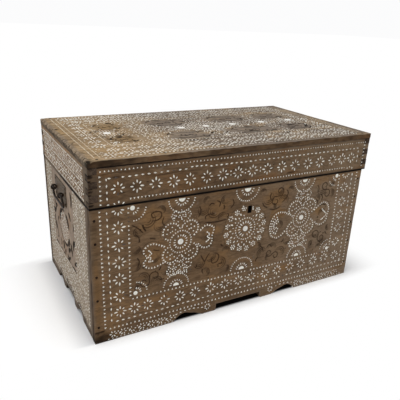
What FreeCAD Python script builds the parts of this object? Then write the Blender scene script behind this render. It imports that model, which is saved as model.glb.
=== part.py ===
import FreeCAD, Part
import math
import os
import re
import Sketcher

# An inlaid walnut dowry chest: a nailed board carcass on a scalloped apron, a
# finger-jointed box lid on two strap hinges, a rim lock and a bail handle at each end.
# Millimetres. X runs along the front, the front faces -Y, Z is up.
# The origin is on the floor, under the middle of the whole chest.

# Driving sizes, each one a cell of the sheet with the same name
SIZES = {
    # carcass
    "body_length": 720,
    "body_depth": 410,
    "seam_height": 309,
    "wall": 18,
    # lid
    "lid_height": 95,
    "slab": 13,
    "slab_round": 4.5,
    "slab_over": 0.5,
    "rail": 18,
    "lid_over_left": 1,
    "lid_over_right": 9,
    "lid_over_front": 2,
    # apron under the front
    "apron_height": 17,
    "foot_length": 184,
    "arch_length": 78,
    "lobe_length": 34,
    "arch_bulge": 4,
    "arch_curl": 1.6,
    "lobe_round": 6,
    # apron under the ends
    "end_foot_length": 93,
    "end_arch_length": 55,
    "end_lobe_length": 19,
    # floor of the chest
    "floor_thickness": 12,
    "cleat_height": 12,
    "cleat_width": 16,
    "cleat_lift": 1,
    # nails
    "nail_shank": 1.1,
    "nail_head": 2.7,
    "nail_head_height": 1.2,
    "nail_fit": 0.05,
    "corner_nail_length": 40,
    "floor_nail_length": 20,
    "slab_nail_length": 34,
    "iron_nail_length": 15,
    "staple_nail_length": 12,
    # bail handles, with the bail's lean towards its plate in degrees
    "handle_offset": 27,
    "plate_width": 100,
    "plate_height": 49,
    "plate_thickness": 1.6,
    "plate_nail_inset": 6,
    "handle_below_seam": 38.5,
    "eye_spacing": 64,
    "eye_ring": 5.4,
    "eye_rod": 2,
    "eye_shank": 2.2,
    "clench_rod": 1.2,
    "clench_length": 11,
    "bail_rod": 2.6,
    "bail_stub": 5,
    "bail_shoulder": 8,
    "bail_flare": 12,
    "bail_drop": 27,
    "bail_lean": 6,
    "bail_top_bend": 4.5,
    "bail_bottom_bend": 9,
    # strap hinges
    "hinge_inset": 130,
    "strap_width": 34,
    "strap_thickness": 2,
    "body_strap_length": 96,
    "lid_strap_length": 66,
    "strap_tip": 16,
    "strap_nail_inset": 14,
    "barrel_radius": 4.5,
    "pin_radius": 2.4,
    "pin_fit": 0.05,
    "pin_head": 3.4,
    "pin_head_height": 1.8,
    "hinge_gap": 0.4,
    "lid_knuckle": 13,
    "knuckle_gap": 0.3,
    # lock
    "lock_offset": 12,
    "keyhole_below_seam": 54,
    "keyhole_radius": 5.2,
    "keyhole_slot": 7,
    "keyhole_drop": 13,
    "lock_plate_width": 116,
    "lock_plate_height": 88,
    "lock_plate_thickness": 2,
    "lock_nail_inset": 7,
    "case_width": 92,
    "case_height": 74,
    "case_depth": 15,
    "case_wall": 1.6,
    "case_lowering": 1,
    "bolt_length": 38,
    "bolt_height": 8,
    "bolt_thickness": 5,
    "bolt_below_seam": 4,
    "bolt_play": 0.3,
    "bolt_rest_gap": 1.5,
    "bolt_travel": 10,
    "arm_width": 7,
    "arm_inset": 16,
    "arm_drop": 38.5,
    "foot_of_bolt": 8,
    "foot_reach": 24,
    "talon_width": 5,
    "talon_depth": 3,
    "keeper_width": 3,
    "keeper_wall": 3,
    "post_radius": 1.8,
    "post_gap": 1.5,
    "ward_radius": 8,
    "ward_thickness": 1,
    "ward_height": 4,
    "spring_leaf": 0.8,
    "spring_width": 4,
    "spring_fall": 8,
    "spring_curl": 2.5,
    # lock staple on the lid
    "lug_width": 4,
    "lug_depth": 10,
    "lug_rim": 3,
    "lug_cheek": 2,
    "lug_gap": 1.5,
    "lug_play": 1,
    "staple_plate_width": 46,
    "staple_plate_height": 26,
    "staple_plate_thickness": 2,
    "staple_plate_lift": 4,
    # large pearl roundels and the string lines
    "front_pearl_radius": 6.5,
    "lid_pearl_radius": 9,
    "pearl_thickness": 2,
    "pearl_fit": 0.1,
    "medallion_spacing": 168,
    "medallion_offset": 4,
    "string_width": 1.8,
    "string_depth": 1.4,
    "outer_string_inset": 20,
    "inner_string_inset": 31,
    "string_end_inset": 22,
    "frame_inset_ends": 79,
    "frame_inset_sides": 96,
    # one overrun for every cutter
    "overrun": 5,
}

# How many fingers the lid's corner joints have
LID_FINGERS = 6
# Places of nails as shares of the length that they are spread over
CORNER_NAIL_SHARES = (0.13, 0.34, 0.52, 0.76, 0.92)
SLAB_NAIL_SHARES = (0.03, 0.22, 0.41, 0.6, 0.79, 0.97)
SLAB_END_NAIL_SHARES = (0.33, 0.67)
FLOOR_NAIL_SHARES = (0.05, 0.35, 0.65, 0.95)
# The arch's crown and the turn of its long side, as shares of the arch's length
CROWN_SHARE = 0.36
TURN_SHARE = 0.7
TURN_RISE_SHARE = 0.6
# How far a lobe's corner swells beside its chord, as a share of its radius: just under the
# 0.2929 of a full quarter circle, so that the outline never crosses its own sides
ROUND_SHARE = 0.29
# Centres of the lid's pearls along the slab, as shares of its length
LID_PEARL_SHARES = (0.145, 0.403, 0.498, 0.606, 0.732, 0.856)
# Height of the front's row of pearls, as a share of the seam's height
PEARL_HEIGHT_SHARE = 0.66
# Nails along a hinge strap, as shares of the row
STRAP_NAIL_SHARES = (0, 0.5, 1)

doc = FreeCAD.newDocument("dowry_chest")
sheet = doc.addObject("Spreadsheet::Sheet", "dim")
for row, (alias, value) in enumerate(SIZES.items(), 1):
    sheet.set("A%d" % row, alias)
    sheet.set("B%d" % row, str(value))
    sheet.setAlias("B%d" % row, alias)
doc.recompute()

WORD = re.compile(r"[a-z][a-z_]*")
subparts = {}


# Helpers


def full(expression):
    """The expression with the sheet's name put before each size that it names."""
    def with_sheet(match):
        word = match.group(0)
        return "dim." + word if word in SIZES else word

    return WORD.sub(with_sheet, str(expression))


def number(expression):
    """The value in millimetres that the expression has now."""
    return float(sheet.evalExpression(full(expression)))


def bind(thing, **sizes):
    """Ties each named property of a feature to an expression."""
    for name, expression in sizes.items():
        thing.setExpression(name, full(expression))
    return thing


DIRECTIONS = {
    "+X": FreeCAD.Vector(1, 0, 0),
    "-X": FreeCAD.Vector(-1, 0, 0),
    "+Y": FreeCAD.Vector(0, 1, 0),
    "-Y": FreeCAD.Vector(0, -1, 0),
    "+Z": FreeCAD.Vector(0, 0, 1),
    "-Z": FreeCAD.Vector(0, 0, -1),
}
UP = DIRECTIONS["+Z"]


def place(thing, at, along="+Z"):
    """Turns the feature's own Z to a direction and ties its place to three expressions."""
    turn = FreeCAD.Rotation(UP, DIRECTIONS[along])
    thing.Placement = FreeCAD.Placement(FreeCAD.Vector(0, 0, 0), turn)
    for axis, expression in zip("xyz", at):
        thing.setExpression("Placement.Base." + axis, full(expression))
    return thing


def box(name, low, high):
    """A box between two corners, each three expressions."""
    block = doc.addObject("Part::Box", name)
    spans = ["(%s) - (%s)" % (b, a) for a, b in zip(low, high)]
    bind(block, Length=spans[0], Width=spans[1], Height=spans[2])
    return place(block, low)


def cylinder(name, radius, height, at, along="+Z"):
    rod = doc.addObject("Part::Cylinder", name)
    bind(rod, Radius=radius, Height=height)
    return place(rod, at, along)


def cut(name, base, *tools):
    """The base less each tool in turn."""
    for step, tool in enumerate(tools):
        result = doc.addObject("Part::Cut", "%s_cut%d" % (name, step))
        result.Base = base
        result.Tool = tool
        base = result
    return base


def fuse(name, shapes):
    joined = doc.addObject("Part::MultiFuse", name + "_joined")
    joined.Shapes = shapes
    return joined


def group(name, shapes):
    """Separate solids kept together, such as a set of nails."""
    together = doc.addObject("Part::Compound", name + "_group")
    together.Links = shapes
    return together


def subpart(name, feature):
    """Names the feature as a finished piece of the chest."""
    feature.Label = name
    subparts[name] = feature
    return feature


def new_body(name):
    return doc.addObject("PartDesign::Body", name + "_body")


def sketch_on(body, name, role, offset):
    """A sketch on one of the body's own planes, moved along the plane's normal."""
    plane = next(p for p in body.Origin.OriginFeatures if p.Role == role)
    sketch = body.newObject("Sketcher::SketchObject", name)
    sketch.AttachmentSupport = [(plane, "")]
    sketch.MapMode = "FlatFace"
    sketch.setExpression("AttachmentOffset.Base.z", full(offset))
    return sketch


def outline(sketch, points):
    """A closed outline through points (x, y, bulge). The bulge of a point bends the run to the
    next one: zero leaves it straight, and a bulge above zero swells it to the left of the run."""
    spots = [FreeCAD.Vector(number(x), number(y), 0) for x, y, _ in points]
    runs = []
    for i, (x, y, bulge) in enumerate(points):
        a, b = spots[i], spots[(i + 1) % len(spots)]
        swell = number(bulge)
        if swell:
            left = UP.cross(b - a).normalize()
            circle = Part.Circle(a, (a + b) * 0.5 + left * swell, b)
            start, end = (b, a) if swell > 0 else (a, b)
            first_angle = math.atan2(start.y - circle.Center.y, start.x - circle.Center.x)
            last_angle = math.atan2(end.y - circle.Center.y, end.x - circle.Center.x)
            if last_angle <= first_angle:
                last_angle += 2 * math.pi
            level = Part.Circle(circle.Center, UP, circle.Radius)
            index = sketch.addGeometry(Part.ArcOfCircle(level, first_angle, last_angle), False)
            first = 2 if swell > 0 else 1
        else:
            index = sketch.addGeometry(Part.LineSegment(a, b), False)
            first = 1
        runs.append((index, first, 3 - first))
    for i, (x, y, bulge) in enumerate(points):
        index, first, last = runs[i]
        following = runs[(i + 1) % len(runs)]
        sketch.addConstraint(Sketcher.Constraint("Coincident", index, last, following[0], following[1]))
        for kind, value, spot in (("DistanceX", x, spots[i].x), ("DistanceY", y, spots[i].y)):
            made = sketch.addConstraint(Sketcher.Constraint(kind, -1, 1, index, first, spot))
            sketch.setExpression("Constraints[%d]" % made, full(value))
        if number(bulge):
            next_x, next_y, _ = points[(i + 1) % len(points)]
            chord = "(((%s) - (%s))^2 + ((%s) - (%s))^2)" % (next_x, x, next_y, y)
            radius = "%s / (8 * abs(%s)) + abs(%s) / 2" % (chord, bulge, bulge)
            made = sketch.addConstraint(Sketcher.Constraint("Radius", index, number(radius)))
            sketch.setExpression("Constraints[%d]" % made, full(radius))


def pad(body, sketch, length, backwards=False):
    feature = body.newObject("PartDesign::Pad", sketch.Name + "_pad")
    feature.Profile = sketch
    feature.Reversed = backwards
    bind(feature, Length=length)
    return feature


def pocket(body, sketch, length, backwards=False):
    feature = body.newObject("PartDesign::Pocket", sketch.Name + "_pocket")
    feature.Profile = sketch
    feature.Reversed = backwards
    bind(feature, Length=length)
    return feature


def nails(name, spots, along, length, proud=False):
    """Cut nails driven at surface points (x, y, z). Returns the nails and the holes they need.
    A proud head lies on the surface, and any other is let in flush with it."""
    outward = {"+": "-", "-": "+"}[along[0]]
    axis = "XYZ".index(along[1])
    made, holes = [], []
    for i, spot in enumerate(spots):
        head_at = list(spot)
        if proud:
            head_at[axis] = "(%s) %s nail_head_height" % (spot[axis], outward)
        label = "%s_%d" % (name, i)
        head = cylinder(label + "_head", "nail_head", "nail_head_height", head_at, along)
        shank = cylinder(label + "_shank", "nail_shank", length, spot, along)
        made.append(fuse(label, [head, shank]))
        hole_at = list(spot)
        hole_at[axis] = "(%s) %s overrun" % (spot[axis], outward)
        hole_length = "(%s) + nail_fit + overrun" % length
        holes.append(cylinder(label + "_hole", "nail_shank + nail_fit", hole_length, hole_at, along))
        if not proud:
            sink_length = "nail_head_height + nail_fit + overrun"
            holes.append(cylinder(label + "_sink", "nail_head + nail_fit", sink_length, hole_at, along))
    return group(name, made), group(name + "_holes", holes)


def spread(low, high, share):
    return "(%s) + %s * ((%s) - (%s))" % (low, share, high, low)


# Places that many pieces share

HINGE_OUT = "(hinge_gap + 2 * barrel_radius)"
LEFT = "(-body_length / 2)"
RIGHT = "(body_length / 2)"
FRONT = "(-(body_depth + %s - lid_over_front) / 2)" % HINGE_OUT
BACK = "(%s + body_depth)" % FRONT
MIDDLE = "(%s + body_depth / 2)" % FRONT
INNER_LEFT = "(%s + wall)" % LEFT
INNER_RIGHT = "(%s - wall)" % RIGHT
INNER_FRONT = "(%s + wall)" % FRONT
INNER_BACK = "(%s - wall)" % BACK
LID_LEFT = "(%s - lid_over_left)" % LEFT
LID_RIGHT = "(%s + lid_over_right)" % RIGHT
LID_FRONT = "(%s - lid_over_front)" % FRONT
SEAM = "seam_height"
HANDLE_MIDDLE = "(%s + handle_offset)" % MIDDLE
HANDLE_HEIGHT = "(seam_height - handle_below_seam)"
KEYHOLE_HEIGHT = "(seam_height - keyhole_below_seam)"
RAIL_LEFT = "(%s + slab_over)" % LID_LEFT
RAIL_RIGHT = "(%s - slab_over)" % LID_RIGHT
RAIL_FRONT = "(%s + slab_over)" % LID_FRONT
RAIL_TOP = "(seam_height + lid_height - slab)"
TOP = "(seam_height + lid_height)"
FLOOR_UNDER = "(apron_height + cleat_lift + cleat_height)"
FLOOR_TOP = "(%s + floor_thickness)" % FLOOR_UNDER

# Scalloped apron


def arch(start, length, way):
    """One arch of the apron: steep beside the foot, then a long curl down to the lobe."""
    crown = "(%s) + %s * %s * (%s)" % (start, way, CROWN_SHARE, length)
    turn = "(%s) + %s * %s * (%s)" % (start, way, TURN_SHARE, length)
    end = "(%s) + %s * (%s)" % (start, way, length)
    side = "arch_bulge" if way > 0 else "-arch_bulge"
    curl = "arch_curl" if way > 0 else "-arch_curl"
    return [
        (start, "-overrun", "0"),
        (start, "0", side),
        (crown, "apron_height", curl),
        (turn, "%s * apron_height" % TURN_RISE_SHARE, "-(%s)" % curl),
        (end, "0", "0"),
        (end, "-overrun", "0"),
    ]


def centre_opening(low, high):
    """The straight opening between the two lobes, whose lower corners are rounded."""
    return [
        ("(%s) - lobe_round" % low, "-overrun", "0"),
        ("(%s) - lobe_round" % low, "0", "-%s * lobe_round" % ROUND_SHARE),
        (low, "lobe_round", "0"),
        (low, "apron_height", "0"),
        (high, "apron_height", "0"),
        (high, "lobe_round", "-%s * lobe_round" % ROUND_SHARE),
        ("(%s) + lobe_round" % high, "0", "0"),
        ("(%s) + lobe_round" % high, "-overrun", "0"),
    ]


def apron(sketch, low, high, foot, length, lobe):
    """Arches and centre opening between two ends of a board."""
    left_arch = "(%s) + %s" % (low, foot)
    right_arch = "(%s) - %s" % (high, foot)
    outline(sketch, arch(left_arch, length, 1))
    outline(sketch, arch(right_arch, length, -1))
    opening_low = "(%s) + %s + %s" % (left_arch, length, lobe)
    opening_high = "(%s) - %s - %s" % (right_arch, length, lobe)
    outline(sketch, centre_opening(opening_low, opening_high))


def keyhole_cutter(name, low, high):
    """A round hole with a slot hanging from it, between two places along Y."""
    span = "(%s) - (%s)" % (high, low)
    eye = cylinder(name + "_eye", "keyhole_radius", span, ("lock_offset", low, KEYHOLE_HEIGHT), "+Y")
    slot = box(
        name + "_slot",
        ("lock_offset - keyhole_slot / 2", low, "%s - keyhole_drop" % KEYHOLE_HEIGHT),
        ("lock_offset + keyhole_slot / 2", high, KEYHOLE_HEIGHT),
    )
    return fuse(name, [eye, slot])


# Nails of the carcass

corner_spots = []
for share in CORNER_NAIL_SHARES:
    for side in ("%s + wall / 2" % LEFT, "%s - wall / 2" % RIGHT):
        corner_spots.append((side, FRONT, "%s * seam_height" % share))
front_nails, front_nail_holes = nails("front_corner_nails", corner_spots, "+Y", "corner_nail_length")
back_spots = [(x, BACK, z) for x, _, z in corner_spots]
back_nails, back_nail_holes = nails("back_corner_nails", back_spots, "-Y", "corner_nail_length")
subpart("front_corner_nails", front_nails)
subpart("back_corner_nails", back_nails)

floor_spots = []
for share in FLOOR_NAIL_SHARES:
    x = spread(INNER_LEFT, INNER_RIGHT, share)
    floor_spots.append((x, "%s + cleat_width / 2" % INNER_FRONT, FLOOR_TOP))
    floor_spots.append((x, "%s - cleat_width / 2" % INNER_BACK, FLOOR_TOP))
floor_nails, floor_nail_holes = nails("floor_nails", floor_spots, "-Z", "floor_nail_length")
subpart("floor_nails", floor_nails)

# Handles: plate, two eyes clenched inside, four nails and the bail

PIVOT_OUT = "(plate_thickness + eye_ring + eye_rod)"


def handle_eye(name, face, way, y):
    """One eye of rod with a shank through plate and board, and its two tips clenched inside."""
    pivot_x = "%s %s %s" % (face, way, PIVOT_OUT)
    inward = "+" if way == "-" else "-"
    ring = doc.addObject("Part::Torus", name + "_ring")
    bind(ring, Radius1="eye_ring", Radius2="eye_rod")
    place(ring, (pivot_x, y, HANDLE_HEIGHT), "+Y")
    reach = "eye_rod + plate_thickness + wall + clench_rod"
    shank_x = "(%s) %s eye_ring" % (pivot_x, inward)
    shank = cylinder(name + "_shank", "eye_shank", reach, (shank_x, y, HANDLE_HEIGHT), inward + "X")
    clench_x = "%s %s (wall + clench_rod)" % (face, inward)
    clench = cylinder(
        name + "_clench",
        "clench_rod",
        "2 * clench_length",
        (clench_x, "(%s) - clench_length" % y, HANDLE_HEIGHT),
        "+Y",
    )
    return fuse(name, [ring, shank, clench])


def bent_rod(points, bends, radius):
    """A round rod along straight runs joined by tangent arcs."""
    edges = []
    start = points[0]
    for i in range(1, len(points) - 1):
        before = (points[i - 1] - points[i]).normalize()
        after = (points[i + 1] - points[i]).normalize()
        half = before.getAngle(after) / 2
        reach = bends[i - 1] / math.tan(half)
        middle = (before + after).normalize() * (bends[i - 1] / math.sin(half) - bends[i - 1])
        arc_start = points[i] + before * reach
        arc_end = points[i] + after * reach
        edges.append(Part.LineSegment(start, arc_start).toShape())
        edges.append(Part.Arc(arc_start, points[i] + middle, arc_end).toShape())
        start = arc_end
    edges.append(Part.LineSegment(start, points[-1]).toShape())
    section = Part.Wire(Part.Circle(points[0], points[1] - points[0], radius).toShape())
    return Part.Wire(edges).makePipeShell([section], True, True)


def bail(name, face, way):
    """The swinging bail: two stubs in the eyes, shoulders, flared arms and a grip bar. It hangs
    with its bar a little towards the plate."""
    x = number("%s %s %s" % (face, way, PIVOT_OUT))
    middle = number(HANDLE_MIDDLE)
    top = number(HANDLE_HEIGHT)
    inward = 1 if way == "-" else -1
    lean = math.radians(number("bail_lean"))
    low_x = x + inward * number("bail_drop") * math.sin(lean)
    low = top - number("bail_drop") * math.cos(lean)
    stub = number("eye_spacing / 2 - bail_stub")
    shoulder = number("eye_spacing / 2 + bail_shoulder")
    foot = shoulder + number("bail_flare")
    half = [(x, stub, top), (x, shoulder, top), (low_x, foot, low)]
    path = [(x, -y, z) for x, y, z in half] + half[::-1]
    points = [FreeCAD.Vector(x, middle + y, z) for x, y, z in path]
    half_bends = [number("bail_top_bend"), number("bail_bottom_bend")]
    bends = half_bends + half_bends[::-1]
    piece = doc.addObject("Part::Feature", name + "_rod")
    piece.Shape = bent_rod(points, bends, number("bail_rod"))
    piece.Placement = FreeCAD.Placement()
    return piece


def handle(side, face, way):
    """Makes one end's handle and returns the cutter for the end board."""
    inward = "+X" if way == "-" else "-X"
    plate_face = "%s %s plate_thickness" % (face, way)
    ends_x = sorted([face, plate_face], key=number)
    low_y = "%s - plate_width / 2" % HANDLE_MIDDLE
    high_y = "%s + plate_width / 2" % HANDLE_MIDDLE
    low_z = "%s - plate_height / 2" % HANDLE_HEIGHT
    high_z = "%s + plate_height / 2" % HANDLE_HEIGHT
    blank = box(side + "_plate_blank", (ends_x[0], low_y, low_z), (ends_x[1], high_y, high_z))
    nail_spots = []
    for y in ("%s + plate_nail_inset" % low_y, "%s - plate_nail_inset" % high_y):
        for z in ("%s + plate_nail_inset" % low_z, "%s - plate_nail_inset" % high_z):
            nail_spots.append((plate_face, y, z))
    pins, pin_holes = nails(side + "_handle_nails", nail_spots, inward, "iron_nail_length", True)
    eyes, shank_holes = [], []
    for i, sign in enumerate("-+"):
        y = "%s %s eye_spacing / 2" % (HANDLE_MIDDLE, sign)
        eyes.append(handle_eye("%s_eye_%d" % (side, i), face, way, y))
        start = "(%s) %s overrun" % (plate_face, way)
        shank_holes.append(cylinder(
            "%s_eye_hole_%d" % (side, i),
            "eye_shank + nail_fit",
            "plate_thickness + wall + 2 * overrun",
            (start, y, HANDLE_HEIGHT),
            inward,
        ))
    holes = group(side + "_handle_holes", [pin_holes] + shank_holes)
    subpart(side + "_handle_plate", cut(side + "_plate", blank, holes))
    subpart(side + "_handle_staples", group(side + "_staples", eyes))
    subpart(side + "_handle_nails", pins)
    subpart(side + "_bail", bail(side + "_bail", face, way))
    return holes


left_handle_holes = handle("left", LEFT, "-")
right_handle_holes = handle("right", RIGHT, "+")

# Large pearl roundels of the front, set in round recesses

front_pearls = []
front_pearl_seats = []
pearl_height = "%s * seam_height" % PEARL_HEIGHT_SHARE
for i, step in enumerate((-1, 0, 1)):
    spot = ("medallion_offset + %d * medallion_spacing" % step, FRONT, pearl_height)
    front_pearls.append(cylinder("front_pearl_%d" % i, "front_pearl_radius", "pearl_thickness", spot, "+Y"))
    seat_at = (spot[0], "%s - overrun" % FRONT, spot[2])
    seat_length = "pearl_thickness + overrun"
    seat = cylinder("front_pearl_seat_%d" % i, "front_pearl_radius + pearl_fit", seat_length, seat_at, "+Y")
    front_pearl_seats.append(seat)
subpart("front_pearls", group("front_pearls", front_pearls))

# Boards of the carcass

front_body = new_body("front_board")
face_sketch = sketch_on(front_body, "front_face", "XZ_Plane", "-%s" % FRONT)
outline(face_sketch, [(LEFT, "0", "0"), (RIGHT, "0", "0"), (RIGHT, SEAM, "0"), (LEFT, SEAM, "0")])
pad(front_body, face_sketch, "wall", True)
apron_sketch = sketch_on(front_body, "front_apron", "XZ_Plane", "-%s + overrun" % FRONT)
apron(apron_sketch, LEFT, RIGHT, "foot_length", "arch_length", "lobe_length")
pocket(front_body, apron_sketch, "wall + 2 * overrun")

left_body = new_body("left_end_board")
left_sketch = sketch_on(left_body, "left_face", "YZ_Plane", LEFT)
end_corners = [
    (INNER_FRONT, "0", "0"),
    (INNER_BACK, "0", "0"),
    (INNER_BACK, SEAM, "0"),
    (INNER_FRONT, SEAM, "0"),
]
outline(left_sketch, end_corners)
pad(left_body, left_sketch, "wall")
left_apron = sketch_on(left_body, "left_apron", "YZ_Plane", "%s - overrun" % LEFT)
apron(left_apron, FRONT, BACK, "end_foot_length", "end_arch_length", "end_lobe_length")
pocket(left_body, left_apron, "wall + 2 * overrun", True)

right_body = new_body("right_end_board")
right_sketch = sketch_on(right_body, "right_face", "YZ_Plane", INNER_RIGHT)
outline(right_sketch, end_corners)
pad(right_body, right_sketch, "wall")
right_apron = sketch_on(right_body, "right_apron", "YZ_Plane", "%s - overrun" % INNER_RIGHT)
apron(right_apron, FRONT, BACK, "end_foot_length", "end_arch_length", "end_lobe_length")
pocket(right_body, right_apron, "wall + 2 * overrun", True)

back_blank = box("back_blank", (LEFT, INNER_BACK, "0"), (RIGHT, BACK, SEAM))

# Lock, nailed inside the front board

LOCK_FACE = "(%s + lock_plate_thickness)" % INNER_FRONT
CASE_BACK = "(%s + case_depth)" % LOCK_FACE
CASE_INNER = "(%s - case_wall)" % CASE_BACK
CASE_TOP = "(seam_height - case_lowering)"
CASE_LOW = "(%s - case_height)" % CASE_TOP
CASE_LEFT = "(lock_offset - case_width / 2)"
CASE_RIGHT = "(lock_offset + case_width / 2)"
LUG_FRONT = "(%s + lug_gap)" % LOCK_FACE
LUG_BACK = "(%s + lug_depth)" % LUG_FRONT
BOLT_TOP = "(seam_height - bolt_below_seam)"
BOLT_LOW = "(%s - bolt_height)" % BOLT_TOP
BOLT_FRONT = "((%s + %s - bolt_thickness) / 2)" % (LUG_FRONT, LUG_BACK)
BOLT_BACK = "(%s + bolt_thickness)" % BOLT_FRONT
BOLT_TIP = "(lock_offset + lug_width / 2 + bolt_rest_gap)"
BOLT_END = "(%s + bolt_length)" % BOLT_TIP
FOOT_LOW = "(%s - arm_drop)" % BOLT_LOW

lock_low = "seam_height - lock_plate_height"
lock_spots = []
lock_nail_reach = "(lock_plate_width / 2 - lock_nail_inset)"
for x in ("lock_offset - %s" % lock_nail_reach, "lock_offset + %s" % lock_nail_reach):
    for z in ("%s + lock_nail_inset" % lock_low, "seam_height - lock_nail_inset"):
        lock_spots.append((x, LOCK_FACE, z))
lock_nails, lock_nail_holes = nails("lock_nails", lock_spots, "-Y", "iron_nail_length", True)
subpart("lock_nails", lock_nails)

keyhole = keyhole_cutter("keyhole", "%s - overrun" % FRONT, "%s + overrun" % LOCK_FACE)
lock_plate_blank = box(
    "lock_plate_blank",
    ("lock_offset - lock_plate_width / 2", INNER_FRONT, lock_low),
    ("lock_offset + lock_plate_width / 2", LOCK_FACE, SEAM),
)
subpart("lock_plate", cut("lock_plate", lock_plate_blank, keyhole, lock_nail_holes))

case_blank = box("case_blank", (CASE_LEFT, LOCK_FACE, CASE_LOW), (CASE_RIGHT, CASE_BACK, CASE_TOP))
case_hollow = box(
    "case_hollow",
    ("%s + case_wall" % CASE_LEFT, "%s - overrun" % LOCK_FACE, "%s + case_wall" % CASE_LOW),
    ("%s - case_wall" % CASE_RIGHT, CASE_INNER, "%s - case_wall" % CASE_TOP),
)
staple_slot = box(
    "staple_slot",
    ("lock_offset - lug_width / 2 - lug_play", "%s - lug_play" % LUG_FRONT, "%s - overrun" % CASE_TOP),
    ("lock_offset + lug_width / 2 + lug_play", "%s + lug_play" % LUG_BACK, "%s + overrun" % CASE_TOP),
)
subpart("lock_case", cut("lock_case", case_blank, case_hollow, staple_slot))

bolt_bar = box("bolt_bar", (BOLT_TIP, BOLT_FRONT, BOLT_LOW), (BOLT_END, BOLT_BACK, BOLT_TOP))
arm_right = "(%s - arm_inset)" % BOLT_END
bolt_arm = box(
    "bolt_arm",
    ("%s - arm_width" % arm_right, BOLT_FRONT, FOOT_LOW),
    (arm_right, BOLT_BACK, "%s + bolt_height / 2" % BOLT_LOW),
)
foot_left = "(%s - foot_reach)" % arm_right
bolt_foot = box(
    "bolt_foot",
    (foot_left, BOLT_FRONT, FOOT_LOW),
    (arm_right, BOLT_BACK, "%s + foot_of_bolt" % FOOT_LOW),
)
talon = box(
    "talon",
    ("%s + talon_width" % foot_left, "%s - overrun" % BOLT_FRONT, "%s - overrun" % FOOT_LOW),
    ("%s + 2 * talon_width" % foot_left, "%s + overrun" % BOLT_BACK, "%s + talon_depth" % FOOT_LOW),
)
subpart("lock_bolt", cut("lock_bolt", fuse("lock_bolt", [bolt_bar, bolt_arm, bolt_foot]), talon))


def keeper(name, left):
    """A bridge across the case that the bolt slides through."""
    right = "(%s) + keeper_width" % left
    outer = box(
        name + "_outer",
        (left, LOCK_FACE, "%s - bolt_play - keeper_wall" % BOLT_LOW),
        (right, CASE_INNER, "%s - case_wall" % CASE_TOP),
    )
    way = box(
        name + "_way",
        ("(%s) - overrun" % left, "%s - bolt_play" % BOLT_FRONT, "%s - bolt_play" % BOLT_LOW),
        ("(%s) + overrun" % right, "%s + bolt_play" % BOLT_BACK, "%s + bolt_play" % BOLT_TOP),
    )
    return cut(name, outer, way)


keepers = [
    keeper("keeper_near", "%s + bolt_rest_gap" % BOLT_TIP),
    keeper("keeper_far", "%s - bolt_travel - keeper_width - bolt_rest_gap" % BOLT_END),
]
subpart("lock_bolt_keepers", group("lock_bolt_keepers", keepers))

post_length = "%s - %s - post_gap" % (CASE_INNER, LOCK_FACE)
post = cylinder("post", "post_radius", post_length, ("lock_offset", CASE_INNER, KEYHOLE_HEIGHT), "-Y")
subpart("lock_key_post", post)
ward_at = ("lock_offset", CASE_INNER, KEYHOLE_HEIGHT)
ward_outer = cylinder("ward_outer", "ward_radius", "ward_height", ward_at, "-Y")
ward_bore = cylinder(
    "ward_bore",
    "ward_radius - ward_thickness",
    "ward_height + 2 * overrun",
    ("lock_offset", "%s + overrun" % CASE_INNER, KEYHOLE_HEIGHT),
    "-Y",
)
subpart("lock_ward", cut("lock_ward", ward_outer, ward_bore))

# The flat spring leans from the case's wall up to the bolt's foot
spring_body = new_body("lock_spring")
spring_sketch = sketch_on(spring_body, "spring_side", "XZ_Plane", "-(%s)" % BOLT_FRONT)
spring_wall = "(%s - case_wall)" % CASE_RIGHT
spring_rise = "(%s - bolt_play)" % FOOT_LOW
spring_apex = "(%s + foot_reach / 2)" % foot_left
outline(spring_sketch, [
    (spring_wall, "%s - spring_fall" % spring_rise, "0"),
    (spring_wall, "%s - spring_fall + spring_leaf" % spring_rise, "0"),
    (spring_apex, spring_rise, "0"),
    ("%s - spring_curl" % spring_apex, "%s - spring_curl / 2" % spring_rise, "0"),
    ("%s - spring_curl" % spring_apex, "%s - spring_curl / 2 - spring_leaf" % spring_rise, "0"),
    (spring_apex, "%s - spring_leaf" % spring_rise, "0"),
])
pad(spring_body, spring_sketch, "spring_width", True)
subpart("lock_spring", spring_body)

# Hinges: straps nailed on the back, knuckles on the seam, headed pins

AXIS_Y = "(%s + hinge_gap + barrel_radius)" % BACK
STRAP_FACE = "(%s + strap_thickness)" % BACK
BODY_KNUCKLE = "((strap_width - lid_knuckle) / 2 - knuckle_gap)"
STRAP_START = "(barrel_radius + hinge_gap)"


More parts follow.
